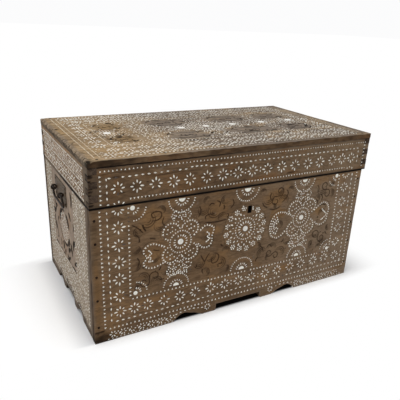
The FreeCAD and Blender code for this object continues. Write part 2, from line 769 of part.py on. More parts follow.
def strap(name, centre, way, length, knuckles):
    """One leaf: a strap with a pointed tip, and a neck and a barrel for each knuckle.
    Each knuckle is its low x and its high x."""
    left = "(%s - strap_width / 2)" % centre
    right = "(%s + strap_width / 2)" % centre
    start = "(seam_height %s %s)" % (way, STRAP_START)
    shoulder = "(%s %s ((%s) - strap_tip))" % (start, way, length)
    tip = "(%s %s (%s))" % (start, way, length)
    body = new_body(name)
    sketch = sketch_on(body, name + "_leaf", "XZ_Plane", "-%s" % BACK)
    outline(sketch, [
        (left, start, "0"),
        (right, start, "0"),
        (right, shoulder, "0"),
        (centre, tip, "0"),
        (left, shoulder, "0"),
    ])
    pad(body, sketch, "strap_thickness", True)
    pieces = [body]
    for i, (low, high) in enumerate(knuckles):
        barrel_at = (low, AXIS_Y, SEAM)
        barrel_length = "(%s) - (%s)" % (high, low)
        pieces.append(cylinder("%s_barrel_%d" % (name, i), "barrel_radius", barrel_length, barrel_at, "+X"))
        inner = "seam_height %s hinge_gap" % way
        outer = "%s %s strap_thickness" % (start, way)
        bottom, top = sorted([inner, outer], key=number)
        pieces.append(box("%s_neck_%d" % (name, i), (low, BACK, bottom), (high, STRAP_FACE, top)))
    bore_at = ("%s - overrun" % left, AXIS_Y, SEAM)
    bore = cylinder(name + "_bore", "pin_radius + pin_fit", "strap_width + 2 * overrun", bore_at, "+X")
    spots = []
    reach = "((%s) - strap_tip - 2 * strap_nail_inset)" % length
    for share in STRAP_NAIL_SHARES:
        z = "%s %s (strap_nail_inset + %s * %s)" % (start, way, share, reach)
        spots.append((centre, STRAP_FACE, z))
    pins, holes = nails(name + "_nails", spots, "-Y", "iron_nail_length", True)
    return cut(name, fuse(name, pieces), bore, holes), pins, holes


def hinge(side, centre):
    """Both leaves and the pin of one hinge. Returns the body leaf's nails and holes, then
    the lid leaf's."""
    low = "(%s - lid_knuckle / 2)" % centre
    high = "(%s + lid_knuckle / 2)" % centre
    outer_low = "(%s - strap_width / 2)" % centre
    outer_high = "(%s + strap_width / 2)" % centre
    body_knuckles = [
        (outer_low, "%s + %s" % (outer_low, BODY_KNUCKLE)),
        ("%s - %s" % (outer_high, BODY_KNUCKLE), outer_high),
    ]
    lower = strap(side + "_body_strap", centre, "-", "body_strap_length", body_knuckles)
    upper = strap(side + "_lid_strap", centre, "+", "lid_strap_length", [(low, high)])
    subpart(side + "_hinge_body_strap", lower[0])
    subpart(side + "_hinge_lid_strap", upper[0])
    rod = cylinder(side + "_pin_rod", "pin_radius", "strap_width", (outer_low, AXIS_Y, SEAM), "+X")
    near = cylinder(side + "_pin_near", "pin_head", "pin_head_height", (outer_low, AXIS_Y, SEAM), "-X")
    far = cylinder(side + "_pin_far", "pin_head", "pin_head_height", (outer_high, AXIS_Y, SEAM), "+X")
    subpart(side + "_hinge_pin", fuse(side + "_hinge_pin", [rod, near, far]))
    return lower[1:] + upper[1:]


left_hinge = hinge("left", "(%s + hinge_inset)" % LEFT)
right_hinge = hinge("right", "(%s - hinge_inset)" % RIGHT)
subpart("hinge_body_nails", group("hinge_body_nails", [left_hinge[0], right_hinge[0]]))
subpart("hinge_lid_nails", group("hinge_lid_nails", [left_hinge[2], right_hinge[2]]))

# The drilled carcass boards

front_cutters = [front_nail_holes, keyhole, lock_nail_holes] + front_pearl_seats
subpart("front_board", cut("front_board", front_body, *front_cutters))
corner_holes = [front_nail_holes, back_nail_holes]
subpart("left_end_board", cut("left_end", left_body, *corner_holes, left_handle_holes))
subpart("right_end_board", cut("right_end", right_body, *corner_holes, right_handle_holes))
subpart("back_board", cut("back_board", back_blank, back_nail_holes, left_hinge[1], right_hinge[1]))

# Floor of two planks on four cleats

cleat_low = "(%s - cleat_height)" % FLOOR_UNDER
front_cleat = box(
    "front_cleat",
    (INNER_LEFT, INNER_FRONT, cleat_low),
    (INNER_RIGHT, "%s + cleat_width" % INNER_FRONT, FLOOR_UNDER),
)
back_cleat = box(
    "back_cleat",
    (INNER_LEFT, "%s - cleat_width" % INNER_BACK, cleat_low),
    (INNER_RIGHT, INNER_BACK, FLOOR_UNDER),
)
subpart("floor_cleat_front", cut("floor_cleat_front", front_cleat, floor_nail_holes))
subpart("floor_cleat_back", cut("floor_cleat_back", back_cleat, floor_nail_holes))
cleat_ends = ("%s + cleat_width" % INNER_FRONT, "%s - cleat_width" % INNER_BACK)
subpart("floor_cleat_left", box(
    "left_cleat",
    (INNER_LEFT, cleat_ends[0], cleat_low),
    ("%s + cleat_width" % INNER_LEFT, cleat_ends[1], FLOOR_UNDER),
))
subpart("floor_cleat_right", box(
    "right_cleat",
    ("%s - cleat_width" % INNER_RIGHT, cleat_ends[0], cleat_low),
    (INNER_RIGHT, cleat_ends[1], FLOOR_UNDER),
))
front_plank = box("front_plank", (INNER_LEFT, INNER_FRONT, FLOOR_UNDER), (INNER_RIGHT, MIDDLE, FLOOR_TOP))
back_plank = box("back_plank", (INNER_LEFT, MIDDLE, FLOOR_UNDER), (INNER_RIGHT, INNER_BACK, FLOOR_TOP))
subpart("floor_plank_front", cut("floor_plank_front", front_plank, floor_nail_holes))
subpart("floor_plank_back", cut("floor_plank_back", back_plank, floor_nail_holes))

# Lid: four rails with finger joints under a slab

slab_spots = []
for share in SLAB_NAIL_SHARES:
    x = spread(LID_LEFT, LID_RIGHT, share)
    slab_spots.append((x, "%s + rail / 2" % LID_FRONT, TOP))
    slab_spots.append((x, "%s - rail / 2" % BACK, TOP))
for share in SLAB_END_NAIL_SHARES:
    y = spread(LID_FRONT, BACK, share)
    slab_spots.append(("%s + rail / 2" % LID_LEFT, y, TOP))
    slab_spots.append(("%s - rail / 2" % LID_RIGHT, y, TOP))
slab_nails, slab_nail_holes = nails("lid_top_nails", slab_spots, "-Z", "slab_nail_length")
subpart("lid_top_nails", slab_nails)


def fingers(name, x_span, y_span, odd):
    """Blocks that leave the other board's fingers room, on each corner of the lid."""
    blocks = []
    for i in range(1 if odd else 0, LID_FINGERS, 2):
        low = "seam_height + %d * (lid_height - slab) / %d" % (i, LID_FINGERS)
        high = "seam_height + %d * (lid_height - slab) / %d" % (i + 1, LID_FINGERS)
        if i == 0:
            low += " - overrun"
        if i == LID_FINGERS - 1:
            high += " + overrun"
        blocks.append(box("%s_%d" % (name, i), (x_span[0], y_span[0], low), (x_span[1], y_span[1], high)))
    return group(name, blocks)


rail_ends = {
    "left": ("%s - overrun" % RAIL_LEFT, "%s + rail" % RAIL_LEFT),
    "right": ("%s - rail" % RAIL_RIGHT, "%s + overrun" % RAIL_RIGHT),
}
rail_sides = {
    "front": (RAIL_FRONT, "%s + rail" % RAIL_FRONT),
    "back": ("%s - rail" % BACK, BACK),
}


def long_rail(name, side):
    """A rail along the chest, whose ends keep the first finger and every second one after it."""
    y_low, y_high = rail_sides[side]
    blank = box(name + "_blank", (RAIL_LEFT, y_low, SEAM), (RAIL_RIGHT, y_high, RAIL_TOP))
    wide = ("%s - overrun" % y_low, "%s + overrun" % y_high)
    notches = [fingers("%s_%s_notch" % (name, end), span, wide, True) for end, span in rail_ends.items()]
    return cut(name, blank, *notches)


def short_rail(name, end):
    """A rail across the chest, whose ends keep the second finger and every second one after it."""
    x_low, x_high = rail_ends[end]
    outer = {"left": (RAIL_LEFT, x_high), "right": (x_low, RAIL_RIGHT)}[end]
    blank = box(name + "_blank", (outer[0], RAIL_FRONT, SEAM), (outer[1], BACK, RAIL_TOP))
    wide = ("%s - overrun" % outer[0], "%s + overrun" % outer[1])
    front = fingers(name + "_front_notch", wide, ("%s - overrun" % RAIL_FRONT, rail_sides["front"][1]), False)
    back = fingers(name + "_back_notch", wide, (rail_sides["back"][0], "%s + overrun" % BACK), False)
    return cut(name, blank, front, back)


# Lock staple: a nailed plate with a lug that hangs into the lock case
STAPLE_INNER = "(%s + rail)" % RAIL_FRONT
STAPLE_FACE = "(%s + staple_plate_thickness)" % STAPLE_INNER
STAPLE_LOW = "(seam_height + staple_plate_lift)"
STAPLE_HIGH = "(%s + staple_plate_height)" % STAPLE_LOW
LUG_LOW = "(%s - bolt_play - lug_rim)" % BOLT_LOW
staple_spots = []
for sign in "-+":
    x = "lock_offset %s (staple_plate_width / 2 - lock_nail_inset)" % sign
    staple_spots.append((x, STAPLE_FACE, "(%s + %s) / 2" % (STAPLE_LOW, STAPLE_HIGH)))
staple_nails, staple_nail_holes = nails("lock_staple_nails", staple_spots, "-Y", "staple_nail_length", True)
subpart("lock_staple_nails", staple_nails)
staple_plate = box(
    "staple_plate",
    ("lock_offset - staple_plate_width / 2", STAPLE_INNER, STAPLE_LOW),
    ("lock_offset + staple_plate_width / 2", STAPLE_FACE, STAPLE_HIGH),
)
lug_neck = box(
    "lug_neck",
    ("lock_offset - lug_width / 2", STAPLE_INNER, STAPLE_LOW),
    ("lock_offset + lug_width / 2", LUG_BACK, "%s + lug_depth" % STAPLE_LOW),
)
lug_leg = box(
    "lug_leg",
    ("lock_offset - lug_width / 2", LUG_FRONT, LUG_LOW),
    ("lock_offset + lug_width / 2", LUG_BACK, "%s + lug_depth" % STAPLE_LOW),
)
lug_window = box(
    "lug_window",
    ("lock_offset - lug_width / 2 - overrun", "%s + lug_cheek" % LUG_FRONT, "%s + lug_rim" % LUG_LOW),
    ("lock_offset + lug_width / 2 + overrun", "%s - lug_cheek" % LUG_BACK, "%s + 2 * bolt_play" % BOLT_TOP),
)
lug = fuse("lock_staple", [staple_plate, lug_neck, lug_leg])
subpart("lock_staple", cut("lock_staple", lug, lug_window, staple_nail_holes))

lid_front = long_rail("lid_front_rail", "front")
lid_back = long_rail("lid_back_rail", "back")
lid_left = short_rail("lid_left_rail", "left")
lid_right = short_rail("lid_right_rail", "right")
subpart("lid_front_rail", cut("lid_front", lid_front, slab_nail_holes, staple_nail_holes))
subpart("lid_back_rail", cut("lid_back", lid_back, slab_nail_holes, left_hinge[3], right_hinge[3]))
subpart("lid_left_rail", cut("lid_left", lid_left, slab_nail_holes))
subpart("lid_right_rail", cut("lid_right", lid_right, slab_nail_holes))

# Pale string lines let into the slab: two at each end and a frame round the field


def string_line(name, low, high):
    """A string between two plan corners. Returns the string and its groove."""
    deep = (low[0], low[1], "%s - string_depth" % TOP)
    line = box(name, deep, (high[0], high[1], TOP))
    groove = box(name + "_groove", deep, (high[0], high[1], "%s + overrun" % TOP))
    return line, groove


strings = []
y_ends = ("%s + string_end_inset" % LID_FRONT, "%s - string_end_inset" % BACK)
for i, inset in enumerate(("outer_string_inset", "inner_string_inset")):
    x = "(%s + %s)" % (LID_LEFT, inset)
    strings.append(string_line("left_string_%d" % i, (x, y_ends[0]), ("%s + string_width" % x, y_ends[1])))
    x = "(%s - %s)" % (LID_RIGHT, inset)
    strings.append(string_line("right_string_%d" % i, ("%s - string_width" % x, y_ends[0]), (x, y_ends[1])))
outer_x = ("(%s + frame_inset_ends)" % LID_LEFT, "(%s - frame_inset_ends)" % LID_RIGHT)
outer_y = ("(%s + frame_inset_sides)" % LID_FRONT, "(%s - frame_inset_sides)" % BACK)
inner_x = ("(%s + string_width)" % outer_x[0], "(%s - string_width)" % outer_x[1])
inner_y = ("(%s + string_width)" % outer_y[0], "(%s - string_width)" % outer_y[1])
strings.append(string_line("frame_string_front", (outer_x[0], outer_y[0]), (outer_x[1], inner_y[0])))
strings.append(string_line("frame_string_back", (outer_x[0], inner_y[1]), (outer_x[1], outer_y[1])))
strings.append(string_line("frame_string_left", (outer_x[0], inner_y[0]), (inner_x[0], inner_y[1])))
strings.append(string_line("frame_string_right", (inner_x[1], inner_y[0]), (outer_x[1], inner_y[1])))
subpart("lid_strings", group("lid_strings", [line for line, _ in strings]))
string_grooves = group("string_grooves", [groove for _, groove in strings])

lid_pearls = []
pearl_seats = []
for i, share in enumerate(LID_PEARL_SHARES):
    x = spread(LID_LEFT, LID_RIGHT, share)
    spot = (x, "(%s + %s) / 2" % (LID_FRONT, BACK), TOP)
    lid_pearls.append(cylinder("lid_pearl_%d" % i, "lid_pearl_radius", "pearl_thickness", spot, "-Z"))
    seat_at = (spot[0], spot[1], "%s + overrun" % TOP)
    seat = cylinder("lid_pearl_seat_%d" % i, "lid_pearl_radius + pearl_fit", seat_length, seat_at, "-Z")
    pearl_seats.append(seat)
subpart("lid_pearls", group("lid_pearls", lid_pearls))

slab_body = new_body("lid_top")
slab_sketch = sketch_on(slab_body, "slab_plan", "XY_Plane", RAIL_TOP)
outline(slab_sketch, [
    (LID_LEFT, LID_FRONT, "0"),
    (LID_RIGHT, LID_FRONT, "0"),
    (LID_RIGHT, BACK, "0"),
    (LID_LEFT, BACK, "0"),
])
slab_pad = pad(slab_body, slab_sketch, "slab")
doc.recompute()
top_edges = []
for i, edge in enumerate(slab_pad.Shape.Edges, 1):
    if min(v.Z for v in edge.Vertexes) > number(TOP) - number("slab") / 2:
        top_edges.append("Edge%d" % i)
rounding = slab_body.newObject("PartDesign::Fillet", "slab_rounding")
rounding.Base = (slab_pad, top_edges)
bind(rounding, Radius="slab_round")
slab_body.Tip = rounding
subpart("lid_top", cut("lid_top", slab_body, slab_nail_holes, string_grooves, *pearl_seats))

doc.recompute()


# Every feature and every piece has to be sound before anything is written


def check():
    for item in doc.Objects:
        if "Invalid" in item.State or "Error" in item.State:
            raise RuntimeError("feature %s failed: %s" % (item.Name, item.State))
    for name, item in subparts.items():
        shape = item.Shape
        if shape.isNull() or not shape.isValid() or not shape.Solids:
            raise RuntimeError("piece %s has no sound solid" % name)
        if min(solid.Volume for solid in shape.Solids) <= 0:
            raise RuntimeError("piece %s has a solid turned inside out" % name)
    for name in ("front_board", "left_end_board", "right_end_board", "back_board", "lid_top"):
        if len(subparts[name].Shape.Solids) != 1:
            raise RuntimeError("%s isn't one board" % name)
    for body, blank in ((front_body, face_sketch), (left_body, left_sketch), (right_body, right_sketch)):
        if body.Shape.Volume >= Part.Face(blank.Shape.Wires[0]).Area * number("wall"):
            raise RuntimeError("the apron of %s cuts nothing" % body.Name)


check()
os.makedirs("parts", exist_ok=True)
for name, item in subparts.items():
    item.Shape.exportStep(os.path.join("parts", name + ".step"))
    print("%-26s solids %2d  volume %9.0f" % (name, len(item.Shape.Solids), item.Shape.Volume))
print("pieces", len(subparts))
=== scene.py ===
import math

import bpy
import numpy as np
from mathutils import Matrix, Vector


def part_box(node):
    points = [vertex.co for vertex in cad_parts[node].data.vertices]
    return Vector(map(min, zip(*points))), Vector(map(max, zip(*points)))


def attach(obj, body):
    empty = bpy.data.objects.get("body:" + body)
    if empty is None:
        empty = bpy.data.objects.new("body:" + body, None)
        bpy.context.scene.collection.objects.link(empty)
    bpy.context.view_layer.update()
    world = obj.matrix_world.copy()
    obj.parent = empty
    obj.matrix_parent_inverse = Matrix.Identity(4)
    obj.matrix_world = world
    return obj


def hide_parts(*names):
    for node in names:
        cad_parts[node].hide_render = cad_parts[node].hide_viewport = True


# Looks of an inlaid walnut dowry chest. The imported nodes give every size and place. Patterns
# are laid out in millimetres on the flat faces of the boards, as on a drawing of each face.

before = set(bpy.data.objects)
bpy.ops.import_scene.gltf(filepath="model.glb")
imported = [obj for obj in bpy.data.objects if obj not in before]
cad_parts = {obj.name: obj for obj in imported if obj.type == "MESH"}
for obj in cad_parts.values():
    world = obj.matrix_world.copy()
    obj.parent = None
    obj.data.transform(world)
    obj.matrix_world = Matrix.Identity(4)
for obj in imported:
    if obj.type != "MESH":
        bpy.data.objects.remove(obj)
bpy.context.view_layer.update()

MM = 0.001
X_WAY = np.array((1.0, 0.0, 0.0))
Y_WAY = np.array((0.0, 1.0, 0.0))
Z_WAY = np.array((0.0, 0.0, 1.0))

# The wood lies a little under the CAD planes, and the chips end at them
SKIN = 0.25
CHIP_SUNK = 1.5
CHIP_RIM = 0.12

# Helpers


def corners(node):
    """Lowest and highest corner of a CAD node in millimetres."""
    low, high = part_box(node)
    return np.array(low) / MM, np.array(high) / MM


def smooth(value, low, high):
    """0 below low, 1 above high and a soft step between them."""
    t = np.clip((value - low) / (high - low), 0, 1)
    return t * t * (3 - 2 * t)


def noise(u, v, cell, seed):
    """Soft random values from 0 to 1 over a plane, with one knot in each cell."""
    count = 61
    knots = np.random.default_rng(seed).random((count, count))
    a, b = u / cell, v / cell
    i, j = np.floor(a).astype(int), np.floor(b).astype(int)
    s, t = smooth(a - i, 0, 1), smooth(b - j, 0, 1)
    i, j, i1, j1 = i % count, j % count, (i + 1) % count, (j + 1) % count
    low = knots[i, j] * (1 - s) + knots[i1, j] * s
    high = knots[i, j1] * (1 - s) + knots[i1, j1] * s
    return low * (1 - t) + high * t


def curve(points, step):
    """Points about one step apart on a smooth curve through the given ones."""
    spots = np.array(points, float)
    ahead = np.vstack((2 * spots[0] - spots[1], spots, 2 * spots[-1] - spots[-2]))
    dense = []
    for a, b, c, d in zip(ahead, ahead[1:], ahead[2:], ahead[3:]):
        for t in np.linspace(0, 1, 24, endpoint=False):
            bend = (2 * a - 5 * b + 4 * c - d) * t + (3 * b - a - 3 * c + d) * t * t
            dense.append(b + 0.5 * t * (c - a + bend))
    dense = np.array(dense + [spots[-1]])
    along = np.concatenate(((0,), np.cumsum(np.hypot(*np.diff(dense, axis=0).T))))
    count = max(2, round(along[-1] / step) + 1)
    marks = np.linspace(0, along[-1], count)
    return np.column_stack([np.interp(marks, along, dense[:, k]) for k in (0, 1)])


def polar(centre, radius, degrees):
    """The place at a radius and an angle from a centre."""
    angle = math.radians(degrees)
    return centre[0] + radius * math.cos(angle), centre[1] + radius * math.sin(angle)


def in_circle(centre, radius):
    """A test of whether a place is in a circle."""
    return lambda u, v: math.hypot(u - centre[0], v - centre[1]) < radius


def in_box(low_u, high_u, low_v, high_v):
    """A test of whether a place is in a box."""
    return lambda u, v: low_u < u < high_u and low_v < v < high_v


def bowed(start, end, v, rise, fall):
    """Three places on a nearly straight line along u, the middle one raised and the last one lowered."""
    return (start, v), ((start + end) / 2, v + rise), (end, v - fall)


def mesh_piece(name, body, slot, vertices, faces, materials, kinds=None, **values):
    """A mesh that rides on a body. Each value is a number for every vertex."""
    mesh = bpy.data.meshes.new(name)
    mesh.from_pydata(vertices, [], faces)
    for material in materials:
        mesh.materials.append(material)
    if kinds is not None:
        mesh.polygons.foreach_set("material_index", np.array(kinds, dtype=np.int32))
    for key, numbers in values.items():
        layer = mesh.attributes.new(key, "FLOAT", "POINT")
        layer.data.foreach_set("value", np.array(numbers, dtype=np.float32))
    piece = bpy.data.objects.new(name, mesh)
    bpy.context.scene.collection.objects.link(piece)
    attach(piece, body)
    return piece


# Faces of the chest


class Face:
    """A flat side: u runs along it, v up it or back over it, and h out of it, in millimetres."""

    def __init__(self, origin, u_way, v_way, out):
        self.origin = np.array(origin, float)
        self.ways = np.array((u_way, v_way, out))
        self.flipped = np.dot(np.cross(u_way, v_way), out) < 0

    def place(self, u, v, h):
        """Places on the face in metres, in the frame of the chest."""
        local = np.column_stack([np.ravel(part) for part in (u, v, h)])
        return (self.origin + local @ self.ways) * MM

    def turn(self, face):
        """A polygon in the order that makes it look outwards."""
        return tuple(reversed(face)) if self.flipped else tuple(face)


body_low, body_high = corners("front_board")
end_low, end_high = corners("left_end_board")
back_high = corners("back_board")[1]
slab_low, slab_high = corners("lid_top")
rail_low, rail_high = corners("lid_front_rail")
side_low, side_high = corners("lid_left_rail")
LEFT, RIGHT = body_low[0], body_high[0]
FRONT, BACK = body_low[1], back_high[1]
LENGTH, DEPTH, SEAM = RIGHT - LEFT, BACK - FRONT, body_high[2]
TOP, RAIL_TOP = slab_high[2], slab_low[2]
WALL = end_high[0] - end_low[0]
RAIL = rail_high[1] - rail_low[1]

front_face = Face((LEFT, FRONT, 0), X_WAY, Z_WAY, -Y_WAY)
back_face = Face((LEFT, BACK, 0), X_WAY, Z_WAY, Y_WAY)
left_face = Face((LEFT, FRONT, 0), Y_WAY, Z_WAY, -X_WAY)
right_face = Face((RIGHT, FRONT, 0), Y_WAY, Z_WAY, X_WAY)
lid_front_face = Face((LEFT, rail_low[1], 0), X_WAY, Z_WAY, -Y_WAY)
lid_back_face = Face((LEFT, corners("lid_back_rail")[1][1], 0), X_WAY, Z_WAY, Y_WAY)
lid_left_face = Face((side_low[0], FRONT, 0), Y_WAY, Z_WAY, -X_WAY)
lid_right_face = Face((corners("lid_right_rail")[1][0], FRONT, 0), Y_WAY, Z_WAY, X_WAY)
top_face = Face((LEFT, slab_low[1], TOP), X_WAY, Y_WAY, Z_WAY)

# Materials


def srgb(red, green, blue):
    """Linear colour of a colour picked on the screen's scale of 0 to 255."""
    parts = []
    for part in (red / 255, green / 255, blue / 255):
        parts.append(part / 12.92 if part <= 0.04045 else ((part + 0.055) / 1.055) ** 2.4)
    return (*parts, 1.0)


BUMP_DISTANCE = 0.0004


def feed(tree, socket, value):
    """Links an output socket to an input, or gives the input a fixed value."""
    if isinstance(value, bpy.types.NodeSocket):
        tree.links.new(value, socket)
    else:
        socket.default_value = value


def add_node(tree, kind, output, feeds, **settings):
    """A new node with its settings and what feeds its inputs. Gives the output that is named."""
    node = tree.nodes.new(kind)
    for key, setting in settings.items():
        setattr(node, key, setting)
    for key, value in feeds.items():
        feed(tree, node.inputs[key], value)
    return node.outputs[output]


class Shader:
    """A node material made by short calls. Each call gives the new node's output socket."""

    def __init__(self, name):
        self.material = bpy.data.materials.new(name)
        self.material.use_nodes = True
        self.tree = self.material.node_tree
        self.surface = self.tree.nodes["Principled BSDF"]
        self.where = add_node(self.tree, "ShaderNodeTexCoord", "Object", {})

    def noise(self, scale, detail=3.0, rough=0.55, bend=0.0, shift=(0, 0, 0)):
        """Noise with its own scale, per metre, along each axis."""
        feeds = {"Vector": self.where, "Scale": scale, "Location": shift}
        place = add_node(self.tree, "ShaderNodeMapping", "Vector", feeds)
        feeds = {"Vector": place, "Scale": 1.0, "Detail": detail, "Roughness": rough, "Distortion": bend}
        return add_node(self.tree, "ShaderNodeTexNoise", "Fac", feeds)

    def attribute(self, name):
        return add_node(self.tree, "ShaderNodeAttribute", "Fac", {}, attribute_name=name)

    def axis(self, name):
        return add_node(self.tree, "ShaderNodeSeparateXYZ", name, {0: self.where})

    def step(self, value, low, high, start=0.0, end=1.0):
        """The value taken from the range low to high over to the range start to end."""
        feeds = dict(enumerate((value, low, high, start, end)))
        return add_node(self.tree, "ShaderNodeMapRange", "Result", feeds, interpolation_type="SMOOTHSTEP")

    def sum(self, kind, a, b):
        """One step of arithmetic, held between 0 and 1."""
        return add_node(self.tree, "ShaderNodeMath", 0, {0: a, 1: b}, operation=kind, use_clamp=True)

    def vector(self, kind, a, b=None):
        """One step of arithmetic with vectors."""
        output = "Value" if kind == "LENGTH" else "Vector"
        feeds = {0: a} if b is None else {0: a, 1: b}
        return add_node(self.tree, "ShaderNodeVectorMath", output, feeds, operation=kind)

    def mix(self, factor, a, b):
        """Colour a where the factor is 0, and colour b where it is 1."""
        feeds = {"Factor": factor, "A": a, "B": b}
        return add_node(self.tree, "ShaderNodeMix", "Result", feeds, data_type="RGBA")

    def layer(self, colour, field, low, high, most, tone):
        """A tone over the colour, from none where the field is low up to most where it is high."""
        return self.mix(self.step(field, low, high, 0.0, most), colour, tone)

    def relief(self, first, share, second):
        """A height made of two fields, the first with its share of the whole."""
        return self.sum("ADD", self.sum("MULTIPLY", first, share), self.sum("MULTIPLY", second, 1 - share))

    def bump(self, height, strength):
        feeds = {"Height": height, "Strength": strength, "Distance": BUMP_DISTANCE}
        return add_node(self.tree, "ShaderNodeBump", "Normal", feeds)

    def finish(self, colour, roughness, normal=None, metallic=0.0, specular=0.3):
        feeds = {"Base Color": colour, "Roughness": roughness, "Metallic": metallic,
                 "Specular IOR Level": specular}
        if normal is not None:
            feeds["Normal"] = normal
        for key, value in feeds.items():
            feed(self.tree, self.surface.inputs[key], value)
        return self.material


DIRT = srgb(30, 21, 15)
# Near-black for painted shade at joints, under the slab, in deep cuts and in the keyhole; in places it only
# darkens the wood's tone
SHADE = srgb(9, 7, 6)
GREY_WOOD = srgb(118, 108, 96)
LOST_CHIP = srgb(58, 44, 34)
GRAIN_STRETCH = 0.045
WOOD_SPECULAR = 0.03


def grain_scale(grain, across, along):
    """Noise scales, per metre, across the grain's axis and along it."""
    scale = [across] * 3
    scale[grain] = along
    return scale


def wood(name, grain, dark, mid, pale, far=None, warm=None, grey=GREY_WOOD, wear=0.6, patch=0.4,
         turn=(-0.12, 0.34)):
    """Old walnut. The grain runs along axis 0, 1 or 2. Far is the colour that it turns to over a
    stretch of X, and warm one for its reddish places."""
    shader = Shader(name)

    def along(per_metre, stretch=GRAIN_STRETCH):
        return grain_scale(grain, per_metre, per_metre * stretch)

    streaks = shader.noise(along(46, 0.22), 4.0, 0.65, 2.2)
    fine = shader.noise(along(260, 0.2), 4.0, 0.65, 0.8, (3, 1, 2))
    pores = shader.noise(along(900), 2.0, 0.6, 0.2, (7, 5, 3))
    patches = shader.noise(along(11, 0.6), 3.0, 0.6, 0.8, (1, 9, 4))
    blotches = shader.noise(along(30, 0.7), 4.0, 0.7, 1.0, (6, 2, 8))
    clouds = shader.noise(along(15, 0.45), 3.0, 0.6, 1.5, (2, 6, 5))
    spots = shader.noise(along(70, 0.5), 4.0, 0.7, 1.2, (9, 4, 2))
    colour = shader.mix(shader.step(streaks, 0.34, 0.66), dark, pale)
    colour = shader.mix(0.5, colour, mid)
    if far is not None:
        right = shader.step(shader.axis("X"), *turn)
        spread = shader.sum("MULTIPLY", right, shader.step(patches, 0.25, 0.6, 0.55, 1.0))
        colour = shader.mix(spread, colour, far)
    if warm is not None:
        tinted = shader.sum("MULTIPLY", shader.attribute("tint"), shader.step(blotches, 0.2, 0.5, 0.5, 1.0))
        tinted = shader.sum("MAXIMUM", tinted, shader.step(clouds, 0.5, 0.7, 0.0, 0.7))
        colour = shader.mix(tinted, colour, warm)
    colour = shader.layer(colour, patches, 0.42, 0.7, patch, dark)
    colour = shader.layer(colour, fine, 0.42, 0.68, 0.34, shader.mix(0.5, dark, DIRT))
    colour = shader.layer(colour, pores, 0.6, 0.7, 0.45, DIRT)
    colour = shader.layer(colour, spots, 0.5, 0.72, 0.5, dark)
    colour = shader.layer(colour, blotches, 0.58, 0.76, 0.45, grey)
    worn = shader.sum("MULTIPLY", shader.attribute("worn"), shader.step(blotches, 0.3, 0.6, 0.4, wear))
    colour = shader.mix(worn, colour, grey)
    grime = shader.sum("MULTIPLY", shader.attribute("dirt"), shader.step(fine, 0.2, 0.6, 1.0, 0.85))
    colour = shader.mix(grime, colour, DIRT)
    # Painted shade at joints and in hollows, and a darker tone in places
    colour = shader.mix(shader.attribute("painted_shade_and_dark_tone"), colour, SHADE)
    normal = shader.bump(shader.relief(fine, 0.6, pores), 0.7)
    return shader.finish(colour, shader.step(blotches, 0.3, 0.7, 0.62, 0.78), normal, specular=WOOD_SPECULAR)


def end_grain(name, dark, pale):
    """Sawn board ends: greyer, with fine short checks."""
    shader = Shader(name)
    rings = shader.noise((110, 110, 110), 4.0, 0.65, 1.5)
    specks = shader.noise((900, 900, 420), 3.0, 0.6, 0.0, (2, 8, 5))
    colour = shader.mix(shader.step(rings, 0.35, 0.65), dark, pale)
    colour = shader.layer(colour, specks, 0.5, 0.68, 0.55, DIRT)
    colour = shader.mix(shader.attribute("dirt"), colour, DIRT)
    # Painted shade at joints and in hollows, and a darker tone in places
    colour = shader.mix(shader.attribute("painted_shade_and_dark_tone"), colour, SHADE)
    return shader.finish(colour, 0.78, shader.bump(specks, 0.6), specular=WOOD_SPECULAR)


def inner_wood(name, grain, dark, pale):
    """Unpolished wood inside the chest, dusty and even."""
    shader = Shader(name)
    streaks = shader.noise(grain_scale(grain, 60.0, 3.0), 4.0, 0.6, 0.8)
    fibres = shader.noise(grain_scale(grain, 420.0, 14.0), 3.0, 0.6, 0.2, (4, 4, 1))
    stains = shader.noise((7, 9, 8), 4.0, 0.6, 0.8, (5, 1, 1))
    colour = shader.mix(shader.step(streaks, 0.3, 0.7), dark, pale)
    colour = shader.layer(colour, fibres, 0.5, 0.75, 0.4, dark)
    colour = shader.layer(colour, stains, 0.5, 0.75, 0.45, srgb(74, 57, 44))
    return shader.finish(colour, 0.82, shader.bump(fibres, 0.5), specular=0.2)


def pearl(name, grey, pale, warm):
    """Mother of pearl and bone chips. The tone of a chip is a value on its vertices."""
    shader = Shader(name)
    tone = shader.attribute("tone")
    cloud = shader.noise((210, 210, 210), 3.0, 0.6, 0.6)
    colour = shader.mix(shader.step(tone, 0.05, 0.6), grey, pale)
    colour = shader.layer(colour, cloud, 0.42, 0.7, 0.6, warm)
    colour = shader.mix(shader.step(tone, 0.0, 0.03, 1.0, 0.0), colour, LOST_CHIP)
    scratches = shader.noise((1400, 900, 1100), 2.0, 0.6, 0.0, (1, 2, 1))
    return shader.finish(colour, shader.step(cloud, 0.3, 0.7, 0.28, 0.45), shader.bump(scratches, 0.25),
                         specular=0.5)


def solid_pearl(name, grey, pale, warm):
    """The same look for the large roundels and the strings, which carry no tone."""
    shader = Shader(name)
    cloud = shader.noise((120, 150, 130), 4.0, 0.6, 1.2)
    flakes = shader.noise((480, 390, 430), 3.0, 0.6, 0.8, (3, 7, 1))
    colour = shader.mix(shader.step(cloud, 0.3, 0.68), pale, grey)
    colour = shader.layer(colour, flakes, 0.48, 0.72, 0.6, warm)
    return shader.finish(colour, shader.step(cloud, 0.3, 0.7, 0.22, 0.4), shader.bump(flakes, 0.3),
                         specular=0.5)


def worn_string(name, grey, pale, bare):
    """Thin string lines, worn down to the wood in places."""
    shader = Shader(name)
    cloud = shader.noise((190, 190, 190), 4.0, 0.65, 0.8)
    gaps = shader.noise((420, 420, 420), 3.0, 0.6, 0.4, (5, 2, 9))
    colour = shader.mix(shader.step(cloud, 0.35, 0.65), grey, pale)
    colour = shader.layer(colour, gaps, 0.46, 0.58, 0.9, bare)
    return shader.finish(colour, 0.6, shader.bump(gaps, 0.3), specular=0.2)


